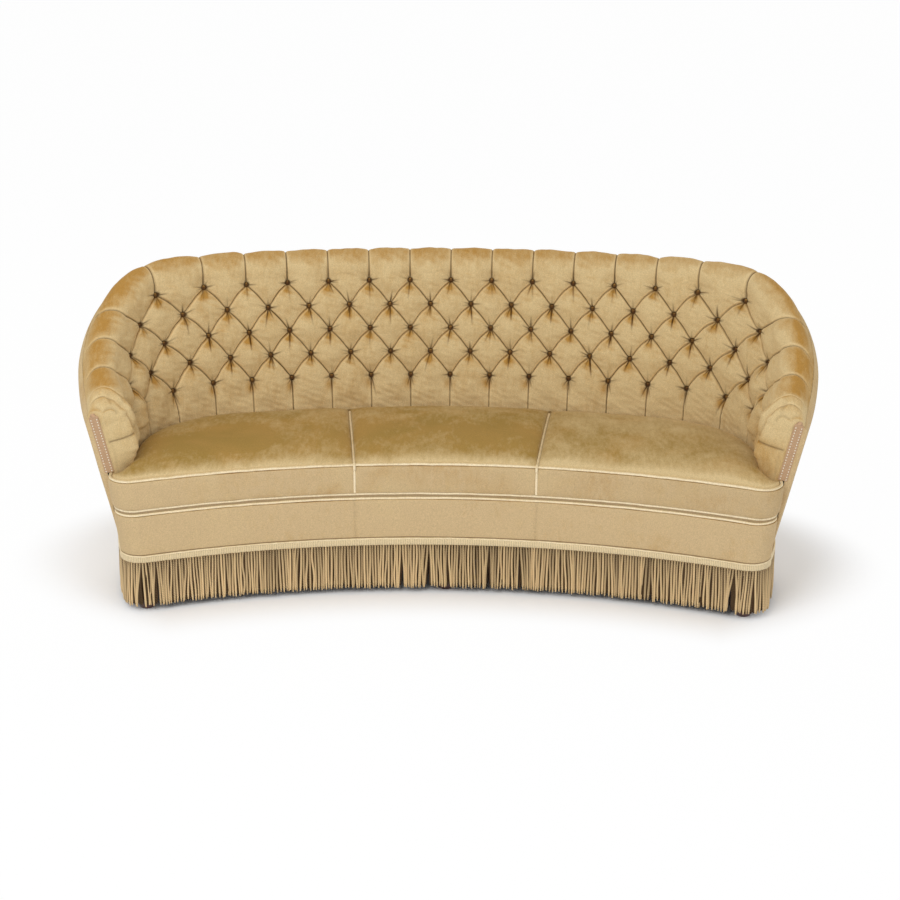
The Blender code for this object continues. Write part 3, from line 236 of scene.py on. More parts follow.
def line_at(station, offset):
    """Plan points, offset outward from the button line at stations along it."""
    run = np.abs(station)
    side = np.where(np.asarray(station) < 0.0, -1.0, 1.0)
    wide = run / BACK_RADIUS
    tight = BACK_TURN + (run - BACK_LENGTH) / CORNER_RADIUS
    arm = run - BACK_LENGTH - CORNER_LENGTH
    parts = [run <= BACK_LENGTH, run <= BACK_LENGTH + CORNER_LENGTH]
    x = np.select(parts, [(BACK_RADIUS + offset) * np.sin(wide),
                          CORNER_X + (CORNER_RADIUS + offset) * np.sin(tight)],
                  ARM_X - ARM_TAPER * (arm / ARM_LENGTH) ** 2 + offset)
    y = np.select(parts, [SEAT_DEPTH - BACK_RADIUS + (BACK_RADIUS + offset) * np.cos(wide),
                          CORNER_Y + (CORNER_RADIUS + offset) * np.cos(tight)], CORNER_Y - arm)
    return side * x, y - CENTRE_Y


def placed(station, offset, height):
    """Points at stations along the button line, at offsets outward from it and at heights."""
    station, offset, height = np.broadcast_arrays(station, offset, height)
    x, y = line_at(station, offset)
    return np.stack([x, y, height], axis=-1)


def face_offset(height):
    """Offset of the leaning wall's front face at a height."""
    return (height - WALL_LINE_HEIGHT) * LEAN


def roll_height(station):
    """Height of the centre of the rolled rim, which falls towards the arms."""
    fall = smooth((np.abs(station) - RIM_FALL_START) / (RIM_FALL_END - RIM_FALL_START))
    rim = BACK_RIM_HEIGHT + (ARM_RIM_HEIGHT - BACK_RIM_HEIGHT) * fall
    return rim - ROLL_RADIUS - STUFFING_HEIGHT


TOP_BUTTON_HEIGHT = float(roll_height(0.0)) - TOP_BUTTON_DROP
BUTTON_ROW_SPACING = (TOP_BUTTON_HEIGHT - LOWEST_BUTTON_HEIGHT) / (BUTTON_ROWS - 1)


def wall_share(station):
    """Share of the full wall thickness left at stations: less than 1 in the rounded arm front."""
    run = np.clip((np.abs(station) - NOSE_START) / NOSE_LENGTH, 0.0, 1.0)
    least = NOSE_END_WIDTH / (2 * ROLL_RADIUS)
    return np.sqrt(1.0 - run * run * (1.0 - least * least))


def section_at(station, inward, up):
    """Points in the leaning wall section, measured from the centre of the rolled rim."""
    centre = face_offset(roll_height(station)) + WALL_THICKNESS
    centre = centre - ROLL_RADIUS * wall_share(station) / math.cos(WALL_LEAN)
    offset = centre - inward * math.cos(WALL_LEAN) + up * math.sin(WALL_LEAN)
    height = roll_height(station) + inward * math.sin(WALL_LEAN) + up * math.cos(WALL_LEAN)
    return placed(station, offset, height)


def face_at(station, height, depth):
    """Points of the leaning face: depth is measured outward, behind the button line."""
    offset = face_offset(height) + WALL_THICKNESS * (1.0 - wall_share(station))
    return placed(station, offset + depth * math.cos(WALL_LEAN), height - depth * math.sin(WALL_LEAN))


def foot_at(station, height, depth):
    """Points level with a height, a depth behind the leaning face."""
    thinned = WALL_THICKNESS * (1.0 - wall_share(station))
    return placed(station, face_offset(height) + thinned + depth / math.cos(WALL_LEAN), height)


def front_line(inset, height):
    """Front outline in plan, from the left arm front to the right one, inset from the apron's face."""
    flare = (height - PANEL_BOTTOM_HEIGHT) / (SEAT_EDGE_HEIGHT - PANEL_BOTTOM_HEIGHT)
    corner = FRONT_CORNER_RADIUS - inset
    corner_x = FRONT_CORNER_X + FRONT_FLARE * min(1.0, max(0.0, flare))
    corner_y = math.sqrt(FRONT_REACH ** 2 - corner_x ** 2) - FRONT_RADIUS
    front_turn = math.asin(corner_x / FRONT_REACH)
    turn = np.linspace(0.0, front_turn, 61)
    radius = FRONT_RADIUS + inset
    half = [np.stack([radius * np.sin(turn), radius * np.cos(turn) - FRONT_RADIUS], axis=-1)]
    turn = np.linspace(-math.pi / 2 - front_turn, 0.0, 19)[1:]
    half.append(np.stack([corner_x + corner * np.cos(turn), corner_y + corner * np.sin(turn)], axis=-1))
    half.append(np.array([[corner_x + corner, ARM_FRONT_Y - GAP]]))
    half = np.concatenate(half)
    line = np.concatenate([half[:0:-1] * (-1.0, 1.0), half])
    return line - (0.0, CENTRE_Y)


def resample(line, shares):
    """Points of a line at shares of its length."""
    steps = np.linalg.norm(np.diff(line, axis=0), axis=1)
    run = np.concatenate([[0.0], np.cumsum(steps)]) / steps.sum()
    return np.stack([np.interp(shares, run, line[:, axis]) for axis in range(line.shape[1])], axis=-1)


def line_length(line):
    """Length of a run of points."""
    return float(np.linalg.norm(np.diff(line, axis=0), axis=1).sum())


def ripple(points, scale, seed):
    """Smooth uneven values between -1 and 1 at points, the same every run."""
    rng = np.random.default_rng(seed)
    total = np.zeros(points.shape[:-1])
    for _ in range(7):
        way = rng.normal(size=points.shape[-1])
        way /= np.linalg.norm(way) * scale * rng.uniform(0.6, 1.6)
        total += np.sin(2 * math.pi * (points @ way) + rng.uniform(0.0, 2 * math.pi))
    return total / 3.5


def deselect():
    """Leaves edit mode and clears the selection."""
    if bpy.context.object and bpy.context.object.mode != "OBJECT":
        bpy.ops.object.mode_set(mode="OBJECT")
    bpy.ops.object.select_all(action="DESELECT")


def pick(made):
    """Makes an object the only one that operators act on."""
    deselect()
    made.select_set(True)
    bpy.context.view_layer.objects.active = made


def add_piece(name, verts, faces, finish, smooth_angle=None, attributes=None, uv=None):
    """Object of a mesh given by its points and faces, with its normals turned outward."""
    mesh = bpy.data.meshes.new(name)
    mesh.from_pydata([], [], [])
    mesh.vertices.add(len(verts))
    mesh.vertices.foreach_set("co", np.asarray(verts, dtype=np.float32).ravel())
    faces = [np.asarray(block) for block in faces if len(block)]
    sizes = np.concatenate([np.full(len(block), block.shape[1]) for block in faces])
    corners = np.concatenate([block.ravel() for block in faces])
    mesh.loops.add(len(corners))
    mesh.loops.foreach_set("vertex_index", corners.astype(np.int32))
    mesh.polygons.add(len(sizes))
    mesh.polygons.foreach_set("loop_start", (np.cumsum(sizes) - sizes).astype(np.int32))
    mesh.update(calc_edges=True)
    mesh.validate()
    if uv is not None:
        layer = mesh.uv_layers.new(name="UVMap")
        layer.data.foreach_set("uv", uv[corners].astype(np.float32).ravel())
    for key, values in (attributes or {}).items():
        layer = mesh.attributes.new(key, "FLOAT", "POINT")
        layer.data.foreach_set("value", np.asarray(values, dtype=np.float32))
    bm = bmesh.new()
    bm.from_mesh(mesh)
    bmesh.ops.recalc_face_normals(bm, faces=bm.faces)
    bm.to_mesh(mesh)
    bm.free()
    made = bpy.data.objects.new(name, mesh)
    bpy.context.scene.collection.objects.link(made)
    mesh.shade_smooth()
    if smooth_angle:
        pick(made)
        bpy.ops.object.shade_smooth_by_angle(angle=smooth_angle)
    mesh.materials.append(finish)
    return made


def grid_faces(columns, rows, start=0):
    """Quads of a grid whose points are numbered column by column."""
    column, row = np.meshgrid(np.arange(columns - 1), np.arange(rows - 1), indexing="ij")
    corner = (start + column * rows + row).ravel()
    return np.stack([corner, corner + rows, corner + rows + 1, corner + 1], axis=-1)


def slab(name, outer, inner, finish, smooth_angle=None, attributes=None):
    """Closed pad between two grids of points of one size."""
    columns, rows = outer.shape[:2]
    count = columns * rows
    number = np.arange(count).reshape(columns, rows)
    rim = np.concatenate([number[:, 0], number[-1, 1:], number[-2::-1, -1], number[0, -2:0:-1]])
    ahead = np.roll(rim, -1)
    walls = np.stack([rim, ahead, ahead + count, rim + count], axis=-1)
    faces = [grid_faces(columns, rows), grid_faces(columns, rows, count)[:, ::-1], walls]
    verts = np.concatenate([outer.reshape(-1, 3), inner.reshape(-1, 3)])
    if attributes:
        attributes = {key: np.tile(value.ravel(), 2) for key, value in attributes.items()}
    return add_piece(name, verts, faces, finish, smooth_angle, attributes)


def piping(name, points, radius, finish):
    """Round piping along a run of points: a curve made into a mesh."""
    curve = bpy.data.curves.new(name, "CURVE")
    curve.dimensions = "3D"
    curve.bevel_depth = radius
    curve.bevel_resolution = 4
    curve.use_fill_caps = True
    spline = curve.splines.new("POLY")
    spline.points.add(len(points) - 1)
    spline.points.foreach_set("co", np.column_stack([points, np.ones(len(points))]).ravel())
    made = bpy.data.objects.new(name, curve)
    bpy.context.scene.collection.objects.link(made)
    pick(made)
    bpy.ops.object.convert(target="MESH")
    made = bpy.context.object
    bpy.ops.object.shade_smooth_by_angle(angle=ROLLED_EDGE)
    made.data.materials.clear()
    made.data.materials.append(finish)
    return made


def squashed_ball(segments, rings, radius, shares):
    """Small model shaped from a sphere, to be copied to many places."""
    deselect()
    bpy.ops.mesh.primitive_uv_sphere_add(segments=segments, ring_count=rings, radius=radius)
    model = bpy.context.object
    bpy.ops.object.mode_set(mode="EDIT")
    bpy.ops.mesh.select_all(action="SELECT")
    bpy.ops.transform.resize(value=shares, center_override=(0.0, 0.0, 0.0))
    bpy.ops.object.mode_set(mode="OBJECT")
    return model


def repeat_mesh(name, model, places, finish):
    """Copies of a small model's mesh at places given as matrices, kept as one piece."""
    mesh = model.data
    verts = np.array([tuple(vert.co) + (1.0,) for vert in mesh.vertices])
    polygons = [tuple(polygon.vertices) for polygon in mesh.polygons]
    moved = np.concatenate([(verts @ np.array(place).T)[:, :3] for place in places])
    faces = []
    for size in sorted({len(polygon) for polygon in polygons}):
        block = np.array([polygon for polygon in polygons if len(polygon) == size])
        shifts = np.arange(len(places))[:, None, None] * len(verts)
        faces.append((block[None] + shifts).reshape(-1, size))
    bpy.data.objects.remove(model)
    return add_piece(name, moved, faces, finish)


def finish_piece(piece, slot, *nodes, fill=None):
    """Ties a piece to the frame: its body and the nodes that it stands for. Its slot is not used."""
    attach(piece, "root")
    if nodes:
        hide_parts(*nodes)


# Materials

def node(tree, kind, inputs=None, **settings):
    """Adds a node with its settings, and sets or links its inputs."""
    made = tree.nodes.new(kind)
    for key, value in settings.items():
        setattr(made, key, value)
    for key, value in (inputs or {}).items():
        if isinstance(value, bpy.types.NodeSocket):
            tree.links.new(value, made.inputs[key])
        else:
            made.inputs[key].default_value = value
    return made


def start_material(name):
    """Material of a name with its nodes cleared, and its node tree."""
    material = bpy.data.materials.get(name) or bpy.data.materials.new(name)
    material.use_nodes = True
    material.node_tree.nodes.clear()
    return material, material.node_tree


def end_material(tree, colour_socket, normal_socket, roughness, **shader):
    """Adds the shader and the output to a material."""
    inputs = {"Base Color": colour_socket, "Roughness": roughness}
    if normal_socket is not None:
        inputs["Normal"] = normal_socket
    inputs.update({key.replace("_", " "): value for key, value in shader.items()})
    surface = node(tree, "ShaderNodeBsdfPrincipled", inputs)
    node(tree, "ShaderNodeOutputMaterial", {"Surface": surface.outputs[0]})


def opaque(value):
    """Colour with full opacity."""
    return (*value, 1.0)


def cotton_velour(name, upright, upward, warm, folds, sheen):
    """Cut cotton velour, woven and brushed: the gold that its short pile shows along the nap is painted on by
    facing.
    """
    material, tree = start_material(name)
    place = node(tree, "ShaderNodeTexCoord").outputs["Object"]
    normal = node(tree, "ShaderNodeNewGeometry").outputs["Normal"]
    # Painted light and shade by facing: the more a face looks up, the more it is painted in the upward
    # colours
    rise = node(tree, "ShaderNodeSeparateXYZ", {0: normal}).outputs["Z"]
    up = node(tree, "ShaderNodeMapRange", {0: rise, 1: 0.25, 2: 0.98, 3: 0.0, 4: 0.95},
              interpolation_type="SMOOTHSTEP").outputs[0]
    # Brushing marks are about 120 mm and 20 mm wide, and tufts of pile about 3 mm so that they show
    marks = node(tree, "ShaderNodeTexNoise", {"Vector": place, "Scale": 8.0, "Detail": 3.0,
                                              "Roughness": 0.6, "Distortion": 0.8}).outputs[0]
    brushed = node(tree, "ShaderNodeMapping", {0: place, 3: (85.0, 32.0, 32.0)}).outputs[0]
    small = node(tree, "ShaderNodeTexNoise", {"Vector": brushed, "Scale": 1.0, "Detail": 4.0,
                                              "Roughness": 0.65}).outputs[0]
    pile = node(tree, "ShaderNodeTexNoise", {"Vector": place, "Scale": 340.0, "Detail": 3.0,
                                             "Roughness": 0.7}).outputs[0]
    nap = node(tree, "ShaderNodeAttribute", attribute_name="nap").outputs["Fac"]
    turned = node(tree, "ShaderNodeMath", {0: marks, 1: 1.1, 2: nap}, operation="MULTIPLY_ADD").outputs[0]
    turned = node(tree, "ShaderNodeMath", {0: small, 1: 1.2, 2: turned}, operation="MULTIPLY_ADD").outputs[0]
    turned = node(tree, "ShaderNodeMath", {0: turned, 1: up}, operation="ADD").outputs[0]
    turned = node(tree, "ShaderNodeMapRange", {0: turned, 1: 1.05, 2: 2.35}).outputs[0]
    wide = node(tree, "ShaderNodeTexNoise", {"Vector": place, "Scale": 4.0, "Detail": 4.0,
                                             "Distortion": 1.0}).outputs[0]
    wide = node(tree, "ShaderNodeMapRange", {0: wide, 1: 0.4, 2: 0.62}).outputs[0]
    along = node(tree, "ShaderNodeMix", {0: wide, 6: opaque(upward), 7: opaque(warm)},
                 data_type="RGBA").outputs[2]
    tone = node(tree, "ShaderNodeMix", {0: turned, 6: opaque(upright), 7: along},
                data_type="RGBA").outputs[2]
    grain = node(tree, "ShaderNodeMapRange", {0: pile, 1: 0.3, 2: 0.7, 3: 0.81, 4: 1.13}).outputs[0]
    tone = node(tree, "ShaderNodeVectorMath", {0: tone, 3: grain}, operation="SCALE").outputs[0]
    # Painted highlight beside the folds, in a paler copy of the velour
    fold_highlight = node(tree, "ShaderNodeAttribute", attribute_name="fold_highlight").outputs["Fac"]
    pale = opaque([min(1.0, channel * 1.3) for channel in upright])
    tone = node(tree, "ShaderNodeMix", {0: fold_highlight, 6: tone, 7: pale}, data_type="RGBA").outputs[2]
    # Painted shade in folds, seams and hollows, in the shadow colour
    painted_shade = node(tree, "ShaderNodeAttribute", attribute_name="painted_shade").outputs["Fac"]
    tone = node(tree, "ShaderNodeMix", {0: painted_shade, 6: tone, 7: opaque(folds)}, data_type="RGBA").outputs[2]
    bump = node(tree, "ShaderNodeBump", {"Height": pile, "Strength": 0.35, "Distance": 0.0008}).outputs[0]
    bump = node(tree, "ShaderNodeBump", {"Height": small, "Strength": 0.35, "Distance": 0.002,
                                         "Normal": bump}).outputs[0]
    # No sheen where the shade is painted
    sheen_out_of_shade = node(tree, "ShaderNodeMapRange", {0: painted_shade, 3: sheen, 4: 0.0}).outputs[0]
    end_material(tree, tone, bump, 0.85, Sheen_Weight=sheen_out_of_shade, Sheen_Roughness=0.45,
                 Sheen_Tint=opaque(linear("#f3e2bb")), Specular_IOR_Level=0.15)
    return material


def twisted_thread(name, light, dark):
    """Mercerised cotton thread, plied into cords: the ply runs round each cord and catches the light."""
    material, tree = start_material(name)
    uv = node(tree, "ShaderNodeUVMap", uv_map="UVMap").outputs[0]
    axes = node(tree, "ShaderNodeSeparateXYZ", {0: uv})
    spiral = node(tree, "ShaderNodeMath", {0: axes.outputs[1], 1: axes.outputs[0]},
                  operation="ADD").outputs[0]
    spiral = node(tree, "ShaderNodeMath", {0: spiral, 1: 4 * math.pi}, operation="MULTIPLY").outputs[0]
    ply = node(tree, "ShaderNodeMath", {0: spiral}, operation="SINE").outputs[0]
    shade = node(tree, "ShaderNodeAttribute", attribute_name="shade").outputs["Fac"]
    # Painted light and shade along the ply's turns, and painted shade from the shade attribute
    share = node(tree, "ShaderNodeMath", {0: ply, 1: -0.2, 2: shade}, operation="MULTIPLY_ADD",
                 use_clamp=True).outputs[0]
    tone = node(tree, "ShaderNodeMix", {0: share, 6: opaque(light), 7: opaque(dark)},
                data_type="RGBA").outputs[2]
    bump = node(tree, "ShaderNodeBump", {"Height": ply, "Strength": 0.5, "Distance": 0.0006}).outputs[0]
    end_material(tree, tone, bump, 0.7, Specular_IOR_Level=0.12)
    return material


def woven_gimp(name, ground):
    """Woven viscose gimp: a flat braid with fine ribs across it and painted shade between them."""
    material, tree = start_material(name)
    place = node(tree, "ShaderNodeTexCoord").outputs["Object"]
    ribs = node(tree, "ShaderNodeAttribute", attribute_name="rib").outputs["Fac"]
    uneven = node(tree, "ShaderNodeTexNoise", {"Vector": place, "Scale": 500.0, "Detail": 2.0}).outputs[0]
    dark = opaque([channel * 0.5 for channel in ground])
    # Painted shade in the valleys between the ribs, with uneven tone
    share = node(tree, "ShaderNodeMath", {0: ribs, 1: 0.5, 2: uneven}, operation="MULTIPLY_ADD").outputs[0]
    share = node(tree, "ShaderNodeMapRange", {0: share, 1: 0.35, 2: 0.95}).outputs[0]
    tone = node(tree, "ShaderNodeMix", {0: share, 6: dark, 7: opaque(ground)}, data_type="RGBA").outputs[2]
    bump = node(tree, "ShaderNodeBump", {"Height": ribs, "Strength": 0.4, "Distance": 0.0005}).outputs[0]
    end_material(tree, tone, bump, 0.7, Sheen_Weight=0.2)
    return material


def sewing_thread(name, ground):
    """Waxed linen sewing thread: pale, with a slight gloss and a little soiling."""
    material, tree = start_material(name)
    place = node(tree, "ShaderNodeTexCoord").outputs["Object"]
    soil_and_shade = node(tree, "ShaderNodeTexNoise", {"Vector": place, "Scale": 300.0, "Detail": 2.0}).outputs[0]
    dark = opaque([channel * 0.7 for channel in ground])
    tone = node(tree, "ShaderNodeMix", {0: soil_and_shade, 6: dark, 7: opaque(ground)}, data_type="RGBA").outputs[2]
    end_material(tree, tone, None, 0.55)
    return material


def stained_beech(name, stain):
    """Turned beech, stained dark and polished: short grain flecks under a thin shellac gloss."""
    material, tree = start_material(name)
    place = node(tree, "ShaderNodeTexCoord").outputs["Object"]
    along = node(tree, "ShaderNodeMapping", {0: place, 3: (160.0, 160.0, 18.0)}).outputs[0]
    grain = node(tree, "ShaderNodeTexNoise", {"Vector": along, "Scale": 1.0, "Detail": 5.0}).outputs[0]
    share = node(tree, "ShaderNodeMapRange", {0: grain, 1: 0.35, 2: 0.7}).outputs[0]
    pale = opaque([channel * 1.9 for channel in stain])
    tone = node(tree, "ShaderNodeMix", {0: share, 6: opaque(stain), 7: pale}, data_type="RGBA").outputs[2]
    bump = node(tree, "ShaderNodeBump", {"Height": grain, "Strength": 0.08, "Distance": 0.0004}).outputs[0]
    end_material(tree, tone, bump, 0.34, Coat_Weight=0.4, Coat_Roughness=0.2)
    return material


def sawn_beech(name):
    """Sawn and planed beech, left bare: pale, with darker flecks along the board."""
    material, tree = start_material(name)
    place = node(tree, "ShaderNodeTexCoord").outputs["Object"]
    along = node(tree, "ShaderNodeMapping", {0: place, 3: (12.0, 60.0, 60.0)}).outputs[0]
    grain = node(tree, "ShaderNodeTexNoise", {"Vector": along, "Scale": 2.0, "Detail": 6.0,
                                              "Distortion": 0.4}).outputs[0]
    share = node(tree, "ShaderNodeMapRange", {0: grain, 1: 0.3, 2: 0.7}).outputs[0]
    tone = node(tree, "ShaderNodeMix", {0: share, 6: opaque(linear("#c79a66")),
                                        7: opaque(linear("#a97c4b"))}, data_type="RGBA").outputs[2]
    bump = node(tree, "ShaderNodeBump", {"Height": grain, "Strength": 0.2, "Distance": 0.0005}).outputs[0]
    end_material(tree, tone, bump, 0.65)
    return material


def plain_weave(name, light, dark, pitch, roughness):
    """Plain-woven cloth of coarse yarn: crossed threads with open, darker gaps."""
    material, tree = start_material(name)
    place = node(tree, "ShaderNodeTexCoord").outputs["Object"]
    # A wave texture at scale 1 has a band about every 314 mm
    waves = [node(tree, "ShaderNodeTexWave", {"Vector": place, "Scale": 0.314 / pitch, "Distortion": 0.8},
                  bands_direction=direction).outputs[1] for direction in ("X", "Y", "Z")]
    cross = node(tree, "ShaderNodeMath", {0: waves[0], 1: waves[2]}, operation="MULTIPLY").outputs[0]
    cross = node(tree, "ShaderNodeMath", {0: waves[1], 1: 0.3, 2: cross}, operation="MULTIPLY_ADD").outputs[0]
    tone = node(tree, "ShaderNodeMix", {0: cross, 6: opaque(dark), 7: opaque(light)},
                data_type="RGBA").outputs[2]
    bump = node(tree, "ShaderNodeBump", {"Height": cross, "Strength": 0.5, "Distance": 0.0006}).outputs[0]
    end_material(tree, tone, bump, roughness)
    return material


def spring_wire(name):
    """Coppered and drawn spring steel: satin, with a little rust bloom."""
    material, tree = start_material(name)
    place = node(tree, "ShaderNodeTexCoord").outputs["Object"]
    bloom = node(tree, "ShaderNodeTexNoise", {"Vector": place, "Scale": 90.0, "Detail": 4.0}).outputs[0]
    share = node(tree, "ShaderNodeMapRange", {0: bloom, 1: 0.45, 2: 0.75}).outputs[0]
    tone = node(tree, "ShaderNodeMix", {0: share, 6: opaque(linear("#8d8a86")),
                                        7: opaque(linear("#7a5a44"))}, data_type="RGBA").outputs[2]
    end_material(tree, tone, None, 0.38, Metallic=1.0)
    return material


def studio_floor(name, tone):
    """Matt painted studio floor: it shows pale all over, and keeps the shadow under the object."""
    material, tree = start_material(name)
    place = node(tree, "ShaderNodeTexCoord").outputs["Object"]
    speck = node(tree, "ShaderNodeTexNoise", {"Vector": place, "Scale": 3.0}).outputs[0]
    speck = node(tree, "ShaderNodeMapRange", {0: speck, 3: 0.99, 4: 1.0}).outputs[0]
    paint = node(tree, "ShaderNodeVectorMath", {0: tone, 3: speck}, operation="SCALE").outputs[0]
    diffuse = node(tree, "ShaderNodeBsdfDiffuse", {"Color": paint}).outputs[0]
    glow = node(tree, "ShaderNodeEmission", {"Color": (1.0, 1.0, 1.0, 1.0), "Strength": 1.0}).outputs[0]
    # The shadow fades out over 200 mm in front of the curved fringe and round the rest of the object
    ring = node(tree, "ShaderNodeMapping", {0: place, 3: (0.8, 1.5, 1.0)}).outputs[0]
    away = node(tree, "ShaderNodeVectorMath", {0: ring}, operation="LENGTH").outputs[1]
    round_it = node(tree, "ShaderNodeMapRange", {0: away, 1: 0.84, 2: 1.06, 3: 0.0, 4: 1.0},
                    interpolation_type="SMOOTHSTEP").outputs[0]
    reach = node(tree, "ShaderNodeVectorMath", {0: place, 1: (0.0, -FRONT_RADIUS - CENTRE_Y, 0.0)},
                 operation="DISTANCE").outputs[1]
    before_it = node(tree, "ShaderNodeMapRange", {0: reach, 1: FRONT_RADIUS - 0.2, 2: FRONT_RADIUS,
                                                  3: 1.0, 4: 0.0}, interpolation_type="SMOOTHSTEP").outputs[0]
    share = node(tree, "ShaderNodeMath", {0: round_it, 1: before_it}, operation="MAXIMUM").outputs[0]
    share = node(tree, "ShaderNodeMath", {0: share, 1: 0.97}, operation="MULTIPLY").outputs[0]
    seen = node(tree, "ShaderNodeMath", {0: direct_rays(tree), 1: share}, operation="MULTIPLY").outputs[0]
    mixed = node(tree, "ShaderNodeMixShader", {0: seen, 1: diffuse, 2: glow}).outputs[0]
    node(tree, "ShaderNodeOutputMaterial", {"Surface": mixed})
    return material


def direct_rays(tree):
    """1 for rays that show the surround itself, and 0 for those that only light the object."""
    rays = node(tree, "ShaderNodeLightPath")
    seen = node(tree, "ShaderNodeMath", {0: rays.outputs["Is Camera Ray"],
                                         1: rays.outputs["Is Glossy Ray"]}, operation="MAXIMUM").outputs[0]
    return node(tree, "ShaderNodeMath", {0: seen, 1: rays.outputs["Is Transmission Ray"]},
                operation="MAXIMUM").outputs[0]


def finish_of(name):
    """Material of a name, made from the colours that the panel shows."""
    made = bpy.data.materials.get(name)
    if made:
        return made
    tones = bpy.context.scene.sofa_colours
    # folds is the colour of the painted shade
    gold, folds = tones.velour_gold, tones.velour_shadow
    makers = {
        "Cut cotton velour, back": (cotton_velour, tones.velour, gold, gold, folds, 0.12),
        "Cut cotton velour, seats": (cotton_velour, tones.velour, tones.velour_deep, tones.velour_worn,
                                     folds, 0.12),
        "Cut cotton velour, outside": (cotton_velour, tones.velour_light, tones.velour, gold, folds, 0.12),
        "Cut cotton velour, buttons": (cotton_velour, tones.button, gold, gold, folds, 0.1),
        "Velour piping": (cotton_velour, tones.piping, tones.velour, tones.velour, folds, 0.15),
        "Plied cotton bullion": (twisted_thread, tones.thread, tones.thread_dark),
        "Woven fringe heading": (woven_gimp, tones.heading),
        "Woven viscose gimp": (woven_gimp, tones.gimp),
        "Waxed linen stitching": (sewing_thread, tones.stitch),
        "Stained turned beech": (stained_beech, tones.foot_stain),
        "Planed beech": (sawn_beech,),
        "Woven hessian": (plain_weave, linear("#b39468"), linear("#6d5334"), 0.0024, 0.95),
        "Woven jute webbing": (plain_weave, linear("#a8875a"), linear("#5f4526"), 0.0030, 0.9),
        "Black cambric": (plain_weave, linear("#262326"), linear("#141214"), 0.0016, 0.95),
        "Drawn spring steel": (spring_wire,),
    }
    if name not in makers:
        raise RuntimeError("No material is named " + name)
    maker, *settings = makers[name]
    return maker(name, *settings)


# Covers

def tuft_height(station, height, depth):
    """Height of the stuffing over the buttons, the distance of the nearest fold and the darkness of its
    painted shade.
    """
    column = np.abs(station) / BUTTON_PITCH
    row = (height - LOWEST_BUTTON_HEIGHT) / BUTTON_ROW_SPACING
    inside = np.clip(row, 0.0, BUTTON_ROWS - 1.0)
    outside = np.abs(row - inside)
    # Folds that run up to the right, those that run up to the left, and pleats past the last column
    rising = column + inside / 2
    falling = column - inside / 2
    beyond = np.maximum(0.0, rising - FIELD_END_COLUMN)
    spread = np.where(beyond > 0.0, np.minimum(beyond, 0.5), rising)
    rise = np.abs(np.sin(math.pi * spread)) ** 0.58
    fall = np.abs(np.sin(math.pi * falling)) ** 0.58
    swell = 0.42 * (rise + fall) + 0.16 * rise * fall
    # Over the top row the stuffing stays high between shallow pleats, less so on the arms
    arm = smooth((column - 7.0) / 1.5)
    rim_lift = 0.76 * smooth(outside * BUTTON_ROW_SPACING / PLEAT_LIFT_LENGTH) * (1.0 - 0.755 * arm)
    end_lift = 0.42 * smooth(beyond) * smooth((row + 0.5) / 2.0)
    lift = np.maximum(rim_lift, end_lift)
    # It thins out towards the seat, but the arms' pleats stay full down to it
    fuller = 1.0 + 0.5 * arm * smooth((2.2 - row) / 1.4)
    climb = (height - PAD_BOTTOM_HEIGHT) / (LOWEST_BUTTON_HEIGHT - PAD_BOTTOM_HEIGHT)
    low_arm = smooth((column - 6.5) / 2.0) * smooth((height - 0.396) / 0.055)
    tuck = np.maximum(FOOT_STUFFING_SHARE + (1.0 - FOOT_STUFFING_SHARE) * smooth(climb), low_arm) * fuller
    # Distance from a fold, measured square to it
    cell = 1 / math.hypot(1 / BUTTON_PITCH, 0.5 / BUTTON_ROW_SPACING)
    square = np.where(outside > 0.0, BUTTON_PITCH, cell)
    near_rise = np.where(beyond > 1e-4, 1.0, np.abs(rising - np.round(rising)) * square)
    near_fall = np.abs(falling - np.round(falling)) * square
    # Folds that run up to the right get lighter painted shade than those that run up to the left
    soft_rise = np.where(station < 0.0, 0.55, 1.0)
    soft_fall = np.where((outside > 0.0) | (beyond > 0.0), 1.0, 1.55 - soft_rise)
    dark = np.where(near_rise < near_fall, soft_rise, soft_fall)
    dark = np.where(outside > 0.0, 1.0, dark)
    return depth * (lift + (1.0 - lift) * swell) * tuck, np.minimum(near_rise, near_fall), dark


def button_places():
    """Station and height of every button, row by row."""
    places = []
    for row in range(BUTTON_ROWS):
        reach = FIELD_END_COLUMN - row / 2
        column = -reach
        while column <= reach:
            places.append((column * BUTTON_PITCH, LOWEST_BUTTON_HEIGHT + row * BUTTON_ROW_SPACING, row))
            column += 1.0
    return places


